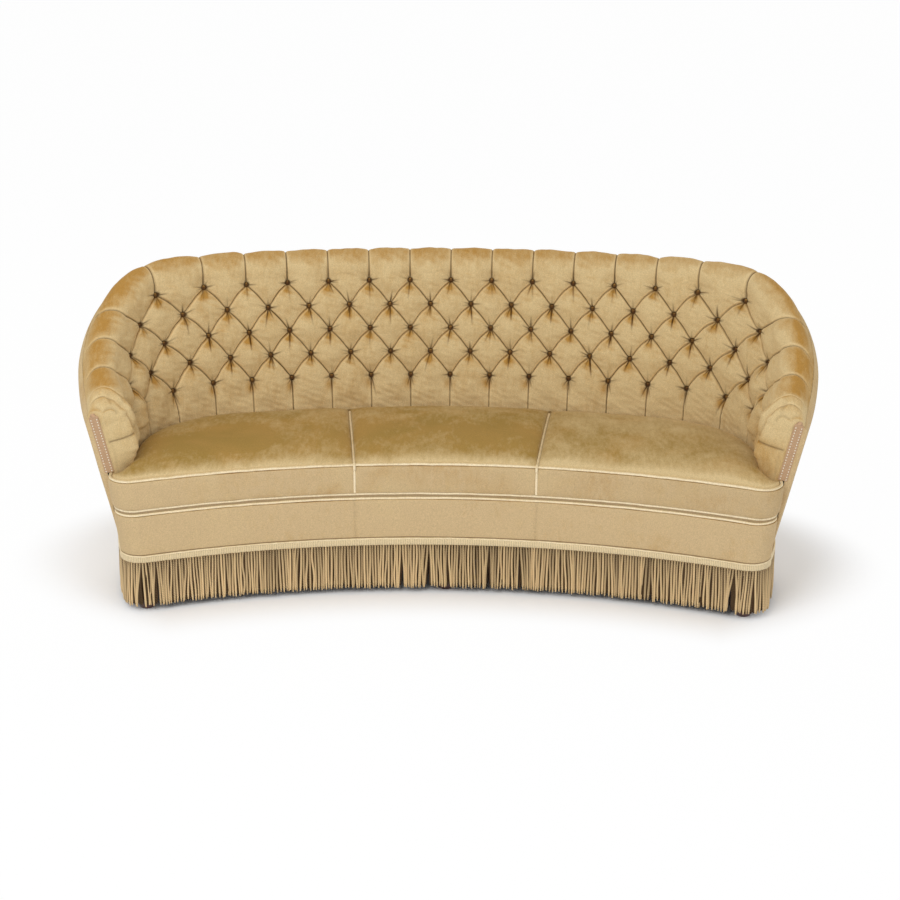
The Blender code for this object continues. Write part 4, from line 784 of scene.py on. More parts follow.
def button_folds(station, height):
    """Depth of the small folds that run out of each button, the painted shade of its hollow and the painted
    shade under it, in the nap's gold.
    """
    rng = np.random.default_rng(11)
    depth, hollow, nap = (np.zeros(station.shape) for _ in range(3))
    # Angle in degrees, then length, half width and depth of each fold
    folds = [(-91.0, 0.056, 0.0023, 0.0046), (-77.0, 0.036, 0.0019, 0.0030), (-104.0, 0.040, 0.0020, 0.0034),
             (-124.0, 0.026, 0.0018, 0.0024), (-56.0, 0.022, 0.0017, 0.0020), (174.0, 0.030, 0.0018, 0.0030),
             (192.0, 0.027, 0.0017, 0.0026), (6.0, 0.030, 0.0018, 0.0030), (-12.0, 0.027, 0.0017, 0.0026),
             (90.0, 0.034, 0.0019, 0.0034), (114.0, 0.020, 0.0017, 0.0022), (66.0, 0.020, 0.0017, 0.0022)]
    for mark, level, row in button_places():
        near = (np.abs(station - mark) < 0.06) & (np.abs(height - level) < 0.065)
        dx = station[near] - mark
        dz = height[near] - level
        total = np.zeros(dx.shape)
        for angle, reach, width, deep in folds:
            angle = math.radians(angle + rng.normal(0.0, 7.0))
            reach *= rng.uniform(0.7, 1.3)
            deep *= rng.uniform(0.4, 1.25)
            # A pleat takes up the fold that runs along it
            if row in (0, BUTTON_ROWS - 1) and abs(abs(math.degrees(angle)) - 90.0) < 14.0:
                deep *= 0.5
            along = dx * math.cos(angle) + dz * math.sin(angle)
            across = -dx * math.sin(angle) + dz * math.cos(angle)
            fade = np.clip(1.0 - along / reach, 0.0, 1.0) * smooth((along + 0.002) / 0.006)
            total = np.maximum(total, deep * fade * bell(across, width))
        depth[near] = np.maximum(depth[near], total)
        # Painted shade in the hollow round the button
        hollow[near] = np.maximum(hollow[near], smooth((0.0112 - np.hypot(dx, dz)) / 0.0045))
        # Painted shade under the button, carried by the nap in gold
        blob = np.exp(-((dx + 0.006) / 0.013) ** 2 - ((dz + 0.022) / 0.017) ** 2)
        nap[near] = np.maximum(nap[near], blob * rng.uniform(0.7, 1.5))
    return depth, hollow, nap


def arm_warp(station, level):
    """Moves stations forward past the end of the buttons, where the pleats run on to the arm's rim."""
    run = np.abs(station)
    row = np.clip((level - LOWEST_BUTTON_HEIGHT) / BUTTON_ROW_SPACING, 0.0, BUTTON_ROWS - 1.0)
    beyond = np.maximum(0.0, run / BUTTON_PITCH + row / 2 - FIELD_END_COLUMN)
    left = (1.0 - run / LINE_END) / 0.14
    ahead = 0.05 * smooth((run / BUTTON_PITCH - 5.8) / 2.4) + 0.06 * smooth(beyond / 1.6)
    return station + np.sign(station) * ahead * smooth(left)


def arm_folds(station, height):
    """Depth of the gathered folds in the front of each arm, round the top of its gimp strip."""
    across = LINE_END - np.abs(station)
    up = height - roll_height(station)
    # One fold runs across the arm's front under the roll, in a wider hollow
    fold = up + 0.056 + 0.20 * across - 3.0 * (across - 0.03) ** 2
    depth = (0.0042 * bell(fold, 0.0026) + 0.0034 * bell(fold, 0.0110)) * smooth(1.4 - across / 0.07)
    # A closed fold curls over the strip, with pleats gathered into it
    bearing = np.arctan2(up - 0.012, across - 0.002)
    ring = np.hypot(across - 0.002, up - 0.012)
    closed = bell(ring - 0.017 - 0.004 * bearing, 0.0030)
    closed = closed * smooth((bearing + 0.5) / 0.6) * smooth((2.6 - bearing) / 0.8)
    rays = np.sin(bearing * 9.0 + 0.6) * bell(ring - 0.036, 0.016)
    rays = rays * smooth((bearing + 0.2) / 0.5) * smooth((0.08 - across) / 0.02)
    return np.maximum(depth, np.maximum(0.0050 * closed, 0.0040 * rays))


def tufted_grid(sizes):
    """Points of the whole buttoned face on a grid whose diagonals follow the folds."""
    cells = sizes.pleat_cells
    across = BUTTON_PITCH / 2 / cells
    up = BUTTON_ROW_SPACING / cells
    half = math.ceil(LINE_END / across)
    station = np.clip(np.arange(-half, half + 1) * across, -LINE_END, LINE_END)[:, None]
    highest = float(roll_height(0.0)) + (SEAM_ANGLE + math.sin(WALL_LEAN)) * ROLL_RADIUS
    low = math.floor((PAD_BOTTOM_HEIGHT - LOWEST_BUTTON_HEIGHT) / up)
    high = math.ceil((highest - LOWEST_BUTTON_HEIGHT) / up)
    level = np.maximum(LOWEST_BUTTON_HEIGHT + np.arange(low, high + 1) * up, PAD_BOTTOM_HEIGHT)[None, :]
    mark = arm_warp(station, level)
    share = wall_share(mark)
    base = roll_height(mark) + ROLL_RADIUS * share * math.sin(WALL_LEAN)
    top = base + SEAM_ANGLE * ROLL_RADIUS
    last = (level <= top - up / 4).sum(axis=1)
    height = np.minimum(level, top)
    turn = (height - base) / ROLL_RADIUS
    flat_station = np.broadcast_to(station, height.shape)
    swell, pinch, dark = tuft_height(flat_station, height, sizes.tuft_depth)
    folds, hollow, nap = button_folds(flat_station, height)
    # The stuffing thins out in the rounded arm front and towards the seam behind the roll
    least = wall_share(LINE_END)
    nose = smooth((share - least) / (1.0 - least))
    drawn = 1.0 - smooth((turn / SEAM_ANGLE - 0.5) * 2)
    folds = folds * nose
    front = arm_folds(mark, height) * smooth((LINE_END - np.abs(mark)) / 0.006)
    groove = 0.0030 * bell(pinch, 0.0024) * nose
    places = np.stack([mark, height], axis=-1)
    lumps = 0.0022 * ripple(places, 0.07, 5) + 0.0008 * ripple(places, 0.025, 6)
    lift = swell * nose - groove + lumps * smooth(swell / 0.012) * nose
    lift = np.maximum(lift - np.maximum(folds, front), -0.002 * nose) * drawn
    # The last lobe of each arm bulges over its front
    near_end = 1.0 - (LINE_END - np.abs(mark)) / 0.09
    crest = np.sin(math.pi * np.clip((turn + 0.3) / (SEAM_ANGLE + 0.3), 0.0, 1.0))
    lobe = smooth((height - 0.398) / 0.05) * smooth((0.45 - turn) / 0.6)
    lobe = np.maximum(lobe * (1.0 - ((near_end - 0.5) / 0.5) ** 2), 0.0) * (near_end > 0.0)
    lift = lift + 0.020 * smooth(near_end) * crest + 0.014 * lobe
    # Folds sag between their buttons, the two ways by different shares
    slant = station / BUTTON_PITCH
    row = (height - LOWEST_BUTTON_HEIGHT) / BUTTON_ROW_SPACING
    inside = np.clip(row, 0.0, BUTTON_ROWS - 1.0)
    slash = np.cos(math.pi * (slant - row / 2)) ** 2
    back = np.cos(math.pi * (slant + row / 2)) ** 2
    bow = sizes.fold_bow * (1.25 * slash * (1 - back) + 0.6 * back * (1 - slash) + (1 - slash) * (1 - back))
    beyond = np.maximum(0.0, np.abs(slant) + inside / 2 - FIELD_END_COLUMN)
    bow = bow * smooth(row + 0.6) * smooth(-turn * ROLL_RADIUS / 0.035) * (1.0 - smooth(beyond * 4))
    face = face_at(mark, height + bow, -lift)
    reach = ROLL_RADIUS * share + lift
    roll_face = section_at(mark, reach * np.cos(turn), reach * np.sin(turn))
    points = np.where((turn > 0.0)[..., None], roll_face, face)
    # Painted shade darkens the folds, the button hollows and the arm fronts' folds, and a pleat's painted
    # shade is widest at its button
    past = np.abs(row - inside) * BUTTON_ROW_SPACING
    width = 0.0014 + 0.0012 * np.exp(-past / 0.022) * (past > 0.0)
    painted_shade = np.maximum(0.80 * dark * bell(pinch, width) * drawn * nose, 0.95 * hollow)
    painted_shade = np.maximum(painted_shade, 0.95 * np.clip(folds / 0.0021, 0.0, 1.0))
    painted_shade = np.maximum(painted_shade, 0.6 * np.clip(front / 0.0075, 0.0, 1.0) ** 2.4)
    # Painted highlight beside each fold, brighter beside the folds with lighter painted shade
    fold_highlight = (0.75 - 0.45 * dark) * bell(pinch - 0.0042, 0.0020) * drawn * nose * (1 - hollow)
    # The nap carries the painted shade under the buttons, painted highlights along the folds and painted
    # light on the right side
    beside = np.abs(slant)
    nap = nap * 0.9 - 0.25 * bell(pinch, 0.012) - 0.12 * smooth((slant - 1.0) / 4.0)
    # The arms' rims are worn gold
    worn = np.where(slant < 0.0, 0.30 * smooth((turn - 0.5) / 0.5), 0.60 * smooth((turn - 0.85) / 0.35))
    nap = nap + worn * smooth((beside - 6.0) / 1.5) * smooth((10.2 - beside) / 0.6)
    # Painted highlight on the tops of the arm fronts
    nap = nap - 0.3 * smooth((beside - 9.4) / 0.8) * bell(turn - 0.1, 0.5)
    # Painted shade, in gold, low inside the right arm
    nap = nap + 0.7 * smooth((slant - 8.2) / 1.2) * smooth((0.54 - height) / 0.07)
    # Painted light: the rim is lighter over the right seat
    nap = nap - 0.25 * smooth((slant - 4.0) / 2.0) * smooth(turn / 0.5) * smooth((9.0 - slant) / 1.0)
    shades = {"painted_shade": np.clip(painted_shade, 0.0, 1.0), "fold_highlight": fold_highlight, "nap": nap}
    return points, last, low, half, shades, mark[:, -1]


def join_step(row_cell, cells):
    """Cells by which the join between two lengths of the cover steps aside, along the pleats."""
    row = np.clip(row_cell, 0, cells * (BUTTON_ROWS - 1))
    turn = row % (2 * cells)
    return np.minimum(turn, 2 * cells - turn)


def tufted_faces(cells, half, low, last, rows):
    """Triangles of the grid, cut along the folds, with the column and row of each one's middle."""
    columns = 2 * half + 1
    column, row = np.meshgrid(np.arange(columns - 1), np.arange(rows - 1), indexing="ij")
    a = column * rows + row
    b, c, d = a + rows, a + rows + 1, a + 1
    ci, cj = column - half, row + low
    main = np.minimum((ci - cj) % (2 * cells), (cj - ci) % (2 * cells))
    anti = np.minimum((ci + cj + 1) % (2 * cells), (-ci - cj - 1) % (2 * cells))
    along = main <= anti
    first = np.where(along[..., None], np.stack([a, b, c], axis=-1), np.stack([a, b, d], axis=-1))
    second = np.where(along[..., None], np.stack([a, c, d], axis=-1), np.stack([b, c, d], axis=-1))
    faces = np.concatenate([first.reshape(-1, 3), second.reshape(-1, 3)])
    place = np.stack([faces // rows - half, faces % rows + low], axis=-1)
    keep = ((faces % rows) <= last[faces // rows]).all(axis=1)
    return faces[keep], place[keep].mean(axis=1)


def cover_rear(station):
    """Three points behind the cover at a station: at its foot, under the roll and at the seam."""
    share = wall_share(station)
    depth = PAD_THICKNESS * share
    core = ROLL_RADIUS * share
    return np.stack([
        face_at(station, PAD_BOTTOM_HEIGHT + 0.0 * station, depth),
        section_at(station, core - depth, ROLL_GAP + 0.0 * station),
        section_at(station, core * math.cos(SEAM_ANGLE), ROLL_GAP + 0.0 * station),
    ], axis=1)


def tufted_cover(sizes):
    """Buttoned cover in three lengths, which meet along the pleats."""
    cells = sizes.pleat_cells
    points, last, low, half, shades, station = tufted_grid(sizes)
    columns, rows = points.shape[:2]
    faces, middle = tufted_faces(cells, half, low, last, rows)
    rear = cover_rear(station)
    offset = columns * rows
    verts = np.concatenate([points.reshape(-1, 3), rear.reshape(-1, 3)])
    shades = {key: np.concatenate([shade.ravel(), np.zeros(columns * 3)]) for key, shade in shades.items()}
    join = 2 * cells * JOIN_COLUMN
    reach = join + join_step(middle[:, 1], cells)
    finish = finish_of("Cut cotton velour, back")
    pieces = (("inside_back_left", -half, -join, middle[:, 0] < -reach),
              ("inside_back_centre", -join, join, np.abs(middle[:, 0]) < reach),
              ("inside_back_right", join, half, middle[:, 0] > reach))
    for name, start, end, chosen in pieces:
        column = np.arange(start, end) + half
        foot = column * rows
        seam = column * rows + last[column]
        seam_next = (column + 1) * rows + last[column + 1]
        back = offset + column * 3
        quads = [np.stack([foot, foot + rows, back + 3, back], axis=-1),
                 np.stack([back, back + 3, back + 4, back + 1], axis=-1),
                 np.stack([back + 1, back + 4, back + 5, back + 2], axis=-1),
                 np.stack([seam, seam_next, back + 5, back + 2], axis=-1)]
        ends = []
        for edge in (start, end):
            count = last[edge + half]
            cell = np.arange(count + 1)
            step = join_step(cell + low, cells) if abs(edge) == join else 0 * cell
            path = (edge + np.sign(edge) * step + half) * rows + cell
            pivot = np.where(cell < count // 3, 0, np.where(cell < count * 0.8, 1, 2))
            root = offset + (edge + half) * 3
            ends.append(np.stack([path[:-1], path[1:], root + pivot[:-1]], axis=-1))
            for level in (0, 1):
                turn = int(np.argmax(pivot > level))
                ends.append(np.array([[path[turn], root + level, root + level + 1]]))
        used, blocks = compact([faces[chosen]] + ends, quads)
        piece = add_piece(name.replace("inside", "buttoned"), verts[used], blocks, finish,
                          attributes={key: shade[used] for key, shade in shades.items()})
        finish_piece(piece, "gold_velour", name, fill=0.75)


def compact(triangles, quads):
    """Numbers the points that some faces use from zero."""
    triangles = np.concatenate(triangles)
    quads = np.concatenate(quads)
    used, number = np.unique(np.concatenate([triangles.ravel(), quads.ravel()]), return_inverse=True)
    count = triangles.size
    return used, [number[:count].reshape(-1, 3), number[count:].reshape(-1, 4)]


def covered_buttons(sizes):
    """Covered buttons: one is shaped from a sphere, then copied to every place."""
    flat = (1.0, 1.0, sizes.button_height / sizes.button_radius)
    model = squashed_ball(16, 8, sizes.button_radius, flat)
    places = []
    for mark, level, _ in button_places():
        mark = arm_warp(np.float64(mark), level)
        foot = Vector(face_at(mark, level, -0.0010))
        out = (Vector(face_at(mark, level, -0.02)) - foot).normalized()
        turn = out.to_track_quat("Z", "Y").to_matrix().to_4x4()
        places.append(Matrix.Translation(foot) @ turn)
    piece = repeat_mesh("covered_buttons", model, places, finish_of("Cut cotton velour, buttons"))
    finish_piece(piece, "gold_velour")


def outside_covers():
    """Smooth outside covers, drawn from the seam on the roll down to the fringe heading."""
    spans = (("outside_arm_left", -LINE_END, -JOINT - GAP / 2),
             ("outside_back", -JOINT + GAP / 2, JOINT - GAP / 2),
             ("outside_arm_right", JOINT + GAP / 2, LINE_END))
    for name, first, last in spans:
        count = max(12, round((last - first) / 0.010))
        even = np.linspace(0.0, 1.0, count)
        closer_at_ends = (1.0 - np.cos(np.linspace(0.0, math.pi, count))) / 2
        station = (first + (last - first) * (0.15 * closer_at_ends + 0.85 * even))[:, None]
        core = ROLL_RADIUS * wall_share(station)
        seam = core * math.cos(SEAM_ANGLE) - GAP
        turn = SEAM_ANGLE + (math.pi - SEAM_ANGLE) * np.linspace(0.0, 1.0, 9)[None, 1:]
        rolled = section_at(station, core * np.cos(turn), core * np.sin(turn))
        start = section_at(station, seam, core * math.sin(SEAM_ANGLE))
        under = foot_at(station, PANEL_BOTTOM_HEIGHT, 2 * core)
        drop = np.linspace(0.0, 1.0, 40)[None, 1:, None]
        outer = np.concatenate([start, rolled, between(rolled[:, -1:], under, drop)], axis=1)
        inside = section_at(station, PANEL_THICKNESS - core, ROLL_GAP)
        inner_top = section_at(station, seam, ROLL_GAP)
        inner_foot = foot_at(station, PANEL_BOTTOM_HEIGHT, 2 * core - PANEL_THICKNESS)
        roll_share = np.linspace(0.0, 1.0, 9)[None, :, None]
        inner = np.concatenate([between(inner_top, inside, roll_share),
                                between(inside, inner_foot, drop)], axis=1)
        # The cloth is a little slack between its seams, and drawn in at the two upright ones
        edge = np.minimum(even, np.linspace(1.0, 0.0, count))[:, None]
        slack = smooth(edge * count / 3) * np.sin(math.pi * np.linspace(0.0, 1.0, outer.shape[1]))[None, :]
        level_ways = outer - inner
        level_ways[..., 2] = 0.0
        away = unit(level_ways)
        outer = outer + away * (0.0012 * ripple(outer, 0.22, 3) * slack)[..., None]
        groove = bell(edge * (last - first), 0.004) * np.ones(outer.shape[1])[None, :]
        groove = np.where(np.abs(np.abs(station) - JOINT) < 0.03, groove, 0.0)
        outer = outer - away * (0.0010 * groove)[..., None]
        # Painted shade in the grooves by the upright seams
        piece = slab(name + "_cover", outer, inner, finish_of("Cut cotton velour, outside"), ROLLED_EDGE,
                     {"painted_shade": 0.2 * groove, "nap": 0.12 * ripple(outer, 0.3, 9)})
        finish_piece(piece, "gold_velour_light", name, fill=1.0)


# Seats and front

def back_reach(turn, offset):
    """Distance from the front arc's centre to the back arc, in directions in plan."""
    shift = SEAT_DEPTH - BACK_RADIUS + FRONT_RADIUS
    return shift * np.cos(turn) + np.sqrt((BACK_RADIUS + offset) ** 2 - (shift * np.sin(turn)) ** 2)


def arc_point(turn, reach):
    """Plan points at angles round the centre of the front's curve, at a distance from it."""
    return np.stack([reach * np.sin(turn), reach * np.cos(turn) - FRONT_RADIUS - CENTRE_Y], axis=-1)


def seat_rear_offset():
    """Offset of the seats' rear edge, just clear of the stuffing at the foot of the back."""
    stuffing = STUFFING_HEIGHT * FOOT_STUFFING_SHARE * math.cos(WALL_LEAN)
    return face_offset(PAD_BOTTOM_HEIGHT) - stuffing - SEAT_CLEARANCE


def seam_rise(sizes, back):
    """Height of the seams between the seats over the seat's edge, at shares of its depth."""
    line = np.sin(math.pi * back)
    return sizes.seat_crown * 0.5 * line ** 0.7 - SEAT_SEAM_DIP * line ** 0.4


def round_edge(distance, width):
    """Share of its full height that a rounded edge has at a distance from its foot."""
    return np.sqrt(1.0 - (1.0 - np.clip(distance / width, 0.0, 1.0)) ** 2)


def seat_outline(seat, height, across, back):
    """Plan points of a seat's top, bent along the arm at its outer end."""
    reach = FRONT_RADIUS + BORDER_THICKNESS + SEAT_CLEARANCE
    rear_offset = seat_rear_offset()
    depth = back[None, :, None]
    if seat == 0:
        turn = (2 * across - 1) * (SEAM_TURN - GAP / 4)
        rear = arc_point(turn, back_reach(turn, rear_offset))
        return between(arc_point(turn, reach)[:, None], rear[:, None], depth)
    line = front_line(BORDER_THICKNESS + SEAT_CLEARANCE, height)
    start = arc_point(SEAM_TURN, reach)
    front = resample(np.concatenate([[start], line[line[:, 0] > start[0] + 0.002]]), across)
    rear = np.stack(line_at(np.linspace(0.0, SEAT_END, 160), rear_offset), axis=-1)
    corner = arc_point(SEAM_TURN, back_reach(SEAM_TURN, rear_offset))
    rear = resample(np.concatenate([[corner], rear[rear[:, 0] > corner[0] + 0.002]]), across)
    grid = between(front[:, None], rear[:, None], depth)
    marks = np.linspace(LINE_END, SEAT_END, 40)
    side = np.stack(line_at(marks, rear_offset + WALL_THICKNESS * (1.0 - wall_share(marks))), axis=-1)
    side[:, 1] = np.maximum(side[:, 1], ARM_FACE_Y)
    side = resample(np.concatenate([front[-1:], side]), back)
    grid = grid + (across[:, None, None] ** 3) * (side - grid[-1])[None]
    return grid[::-1] * (-1.0, 1.0) if seat < 0 else grid


def sprung_seats(sizes):
    """Three tight sprung seats: crowned, rounded at the front and drawn down along their seams."""
    columns, rows = 96, 76
    across = np.linspace(0.0, 1.0, columns)
    closer_at_ends = (1.0 - np.cos(np.linspace(0.0, math.pi, rows))) / 2
    back = 0.35 * closer_at_ends + 0.65 * np.linspace(0.0, 1.0, rows)
    wide = 1.0 - np.abs(2 * across - 1) ** 3
    deep = 1.0 - np.abs(2 * back - 1) ** 3
    crown = np.maximum(wide[:, None] * deep[None, :], 0.0) ** 0.6
    for name, seat in (("seat_pad_left", -1), ("seat_pad_centre", 0), ("seat_pad_right", 1)):
        plan = seat_outline(seat, SEAT_EDGE_HEIGHT, across, back)
        width = line_length(plan[:, rows // 2])
        seam = np.full(columns, 1e3)
        if seat >= 0:
            seam = np.minimum(seam, across * width)
        if seat <= 0:
            seam = np.minimum(seam, (1 - across) * width)
        full = sizes.seat_crown * np.maximum(crown, deep[None, :] ** 0.6 * (seam < 0.3)[:, None] * 0.92)
        drawn = 1.0 - round_edge(seam, 0.075)
        rise = between(full, seam_rise(sizes, back)[None, :], drawn[:, None])
        if seat:
            outer = (1 - across if seat > 0 else across)[:, None]
            rise = rise * round_edge(outer * width, 0.05)
        flat = np.concatenate([plan, np.zeros(plan.shape[:2] + (1,))], axis=-1)
        rise = rise + 0.0016 * ripple(flat, 0.16, 21 + seat) * crown
        top = np.concatenate([plan, (SEAT_EDGE_HEIGHT + rise)[..., None]], axis=-1)
        under = seat_outline(seat, RAIL_TOP_HEIGHT, across, back)
        low_height = np.full(under.shape[:2] + (1,), RAIL_TOP_HEIGHT + GAP)
        bottom = np.concatenate([under, low_height], axis=-1)
        # A painted highlight lies just over the front piping, and the nap is worn gold towards the middle
        band = bell(back * 0.5, 0.03)[None, :]
        worn = np.sin(math.pi * np.clip(1.6 * back - 0.1, 0.0, 1.0))[None, :]
        nap = 0.18 * ripple(flat, 0.35, 31 + seat) + 0.08 * ripple(flat, 0.09, 35 + seat)
        # The right seat is painted lighter: painted light
        nap = nap - 0.42 * max(seat, 0) + 0.30 * worn - 0.75 * band
        # Painted shade along the seams between the seats
        painted_shade = 0.6 * bell(seam, 0.004)[:, None] * np.ones((1, rows))
        piece = slab(name.replace("pad", "cover"), top, bottom, finish_of("Cut cotton velour, seats"),
                     SEWN_EDGE, {"nap": nap, "painted_shade": painted_shade})
        finish_piece(piece, "gold_velour", name, fill=0.9)


def front_pads(sizes):
    """Padded border under the seat edge, and the plain apron under it."""
    radius = sizes.welt_radius
    border_low = DOUBLE_PIPING_HEIGHT + DOUBLE_PIPING_SPREAD / 2 + radius + GAP
    border_high = SEAT_EDGE_HEIGHT - radius
    apron_high = DOUBLE_PIPING_HEIGHT - DOUBLE_PIPING_SPREAD / 2 - radius - GAP
    shadow_height = HEADER_TOP_HEIGHT + 0.0012
    spans = (("front_border", border_low, border_high, sizes.border_swell, 14, 0.1),
             ("front_apron", PANEL_BOTTOM_HEIGHT, apron_high, sizes.border_swell / 2, 22, -0.1))
    shares = np.linspace(0.0, 1.0, 420)
    for name, low, high, swell, rows, shade in spans:
        level = np.linspace(0.0, 1.0, rows)
        if name == "front_apron":
            # Three rows more carry the line of shadow over the fringe heading
            line = (shadow_height - low) / (high - low)
            level = np.sort(np.concatenate([level, line + np.array([-0.016, 0.0, 0.016])]))
            rows = len(level)
        outer, inner = [], []
        for share in level:
            height = low + (high - low) * share
            round_over = math.sqrt(max(0.0, 1.0 - abs(2 * share - 1) ** 4))
            outer.append(levelled(resample(front_line(-swell * round_over, height), shares), height))
            inner.append(levelled(resample(front_line(BORDER_THICKNESS, height), shares), height))
        outer, inner = np.stack(outer, axis=1), np.stack(inner, axis=1)
        away = unit(outer - inner)
        middle = outer[:, rows // 2]
        run = line_length(middle) * shares
        seams = np.abs(np.abs(middle[:, 0]) - SEAM_HALF_WIDTH)
        groove = bell(seams, 0.004)[:, None] * np.ones((1, rows))
        # Painted shade over the border, deeper towards the right
        soil_and_shade = (0.05 + 0.04 * np.clip(outer[..., 0], -1.0, 1.0)) * (name == "front_border")
        shadow = bell(outer[..., 2] - shadow_height, 0.0015)
        flutes = np.sin(2 * math.pi * run / 0.021)[:, None] * (np.abs(2 * level - 1) ** 6)[None, :]
        uneven = ripple(outer, 0.11, 8)
        ends = smooth(np.minimum(shares, 1 - shares) * 25)[:, None]
        edge = np.sin(math.pi * level)[None, :]
        wave = 0.0009 * uneven * edge + 0.0002 * flutes * uneven - 0.0016 * groove
        outer = outer + away * (wave * ends)[..., None]
        # Painted shade in the seam grooves and along the line of shadow over the heading, with the border's
        # painted shade
        piece = slab(name + "_cover", outer, inner, finish_of("Cut cotton velour, outside"), SEWN_EDGE,
                     {"painted_shade": np.maximum(0.12 * groove, 0.75 * shadow) + soil_and_shade,
                      "nap": shade + 0.16 * ripple(outer, 0.3, 14)})
        finish_piece(piece, "gold_velour_light", name, fill=0.6)


def front_piping(sizes):
    """Piping round the front: over the border, and a double row under it with a band between."""
    radius = sizes.welt_radius
    shares = np.linspace(0.0, 1.0, 300)
    high = DOUBLE_PIPING_HEIGHT + DOUBLE_PIPING_SPREAD / 2
    low = DOUBLE_PIPING_HEIGHT - DOUBLE_PIPING_SPREAD / 2
    # Inset and height of the band's rows, hollow between the two rows of piping
    outer, inner = [], []
    for inset, height in ((0.0045, low), (0.0035, DOUBLE_PIPING_HEIGHT), (0.0045, high)):
        for lines, deeper in ((outer, 0.0), (inner, 0.0035)):
            lines.append(levelled(resample(front_line(inset + deeper, height), shares), height))
    outer, inner = np.stack(outer, axis=1), np.stack(inner, axis=1)
    # The band between the rows of piping is painted in shade
    piece = slab("piping_band", outer, inner, finish_of("Cut cotton velour, outside"), SEWN_EDGE,
                 {"painted_shade": np.full(outer.shape[:2], 0.4)})
    finish_piece(piece, "gold_velour_light", fill=0.3)
    rows = (("seat_top_welt", SEAT_EDGE_HEIGHT + GAP), ("border_bottom_welt", high), ("apron_top_welt", low))
    for seed, (name, height) in enumerate(rows):
        points = levelled(resample(front_line(BORDER_THICKNESS - radius - 0.0006, height), shares), height)
        points[:, 2] += 0.0005 * ripple(points[:, :2], 0.07, 40 + seed)
        points[:, 1] -= 0.0004 * ripple(points[:, :2], 0.05, 50 + seed)
        piece = piping(name.replace("welt", "piping"), points, radius, finish_of("Velour piping"))
        finish_piece(piece, "gold_velour", name)


def seat_seams(sizes):
    """Piping along the seams between the seats, over the front edge and down the border."""
    radius = sizes.welt_radius * 0.86
    back = np.linspace(0.93, 0.02, 60)
    drop = np.linspace(0.0, 1.0, 12)
    reach = FRONT_RADIUS + BORDER_THICKNESS + SEAT_CLEARANCE
    for label, side in (("left", -1), ("right", 1)):
        turn = side * SEAM_TURN
        rear = float(back_reach(turn, seat_rear_offset()))
        plan = arc_point(np.full(back.shape, turn), reach + (rear - reach) * back)
        over = np.column_stack([plan, SEAT_EDGE_HEIGHT + seam_rise(sizes, back) + radius * 0.55])
        edge = arc_point(np.full(3, turn), FRONT_RADIUS + np.array([0.003, -0.004, -0.0052]))
        bend = np.column_stack([edge, SEAT_EDGE_HEIGHT + np.array([0.0062, 0.001, -0.008])])
        fall = arc_point(np.full(12, turn), FRONT_RADIUS + 0.0008 - 0.0022 * np.sin(math.pi * drop))
        height = SEAT_EDGE_HEIGHT - 0.014 - drop * (SEAT_EDGE_HEIGHT - 0.014 - RAIL_TOP_HEIGHT - 0.0125)
        down = np.column_stack([fall, height])
        piece = piping("seam_piping_" + label, np.concatenate([over, bend, down]), radius,
                       finish_of("Velour piping"))
        finish_piece(piece, "gold_velour", "seam_welt_" + label)


# Arm fronts

def gimp_strips(sizes):
    """Gimp strips up the arm fronts, each with two rows of stitches."""
    half = STRIP_WIDTH / 2
    middle = NOSE_END_WIDTH / 2 - half
    foot_height = SEAT_EDGE_HEIGHT + 3 * sizes.welt_radius
    lay = np.linspace(-1.0, 1.0, 13)
    for label, side in (("left", -1.0), ("right", 1.0)):
        mark = np.float64(side * LINE_END)
        low = Vector(foot_at(mark, foot_height - 0.008, half))
        high = Vector(section_at(mark, middle, half * 1.7))
        top = Vector(section_at(mark, middle, half * 2.3))
        line = np.array([low.lerp(high, share) for share in np.linspace(0.0, 1.0, 150)] + [top])
        way = (high - low).normalized()
        across = Vector((way.z, 0.0, -way.x)) * side
        width = np.full(len(line), half)
        width[-6:] = half * np.sqrt(np.clip(1.0 - np.linspace(0.0, 0.92, 6) ** 2, 0.05, 1.0))
        outer = line[:, None] + lay[None, :, None] * width[:, None, None] * np.array(across)[None, None]
        inner = outer.copy()
        inner[..., 1] = ARM_FACE_Y
        # Ribs of the weave are 3.5 mm apart, so that they show
        rib = 0.5 + 0.5 * np.cos(2 * math.pi * outer[..., 2] / 0.0035)
        dome = STRIP_THICKNESS * (0.75 + 0.25 * (1 - lay ** 4))[None, :]
        outer[..., 1] = ARM_FACE_Y - dome - 0.0004 * rib
        piece = slab("woven_gimp_" + label, outer, inner, finish_of("Woven viscose gimp"), ROLLED_EDGE,
                     {"rib": rib})
        finish_piece(piece, "gimp_braid", "gimp_strip_" + label)
        model = squashed_ball(8, 6, 0.0016, (1.05, 0.8, 1.3))
        lean = Matrix.Rotation(math.atan2(way.x, way.z), 4, "Y")
        rng = np.random.default_rng(7)
        places = []
        for row in (-0.62, 0.62):
            for index in range(int((high - low).length / sizes.stitch_pitch)):
                spot = low + way * (index + 0.5) * sizes.stitch_pitch + across * row * half
                spot.y = ARM_FACE_Y - STRIP_THICKNESS * 0.98
                tilt = Matrix.Rotation(math.radians(10.0 * row + rng.normal(0.0, 6.0)), 4, "Y")
                places.append(Matrix.Translation(spot) @ lean @ tilt)
        piece = repeat_mesh("gimp_stitches_" + label, model, places, finish_of("Waxed linen stitching"))
        finish_piece(piece, "gimp_braid")


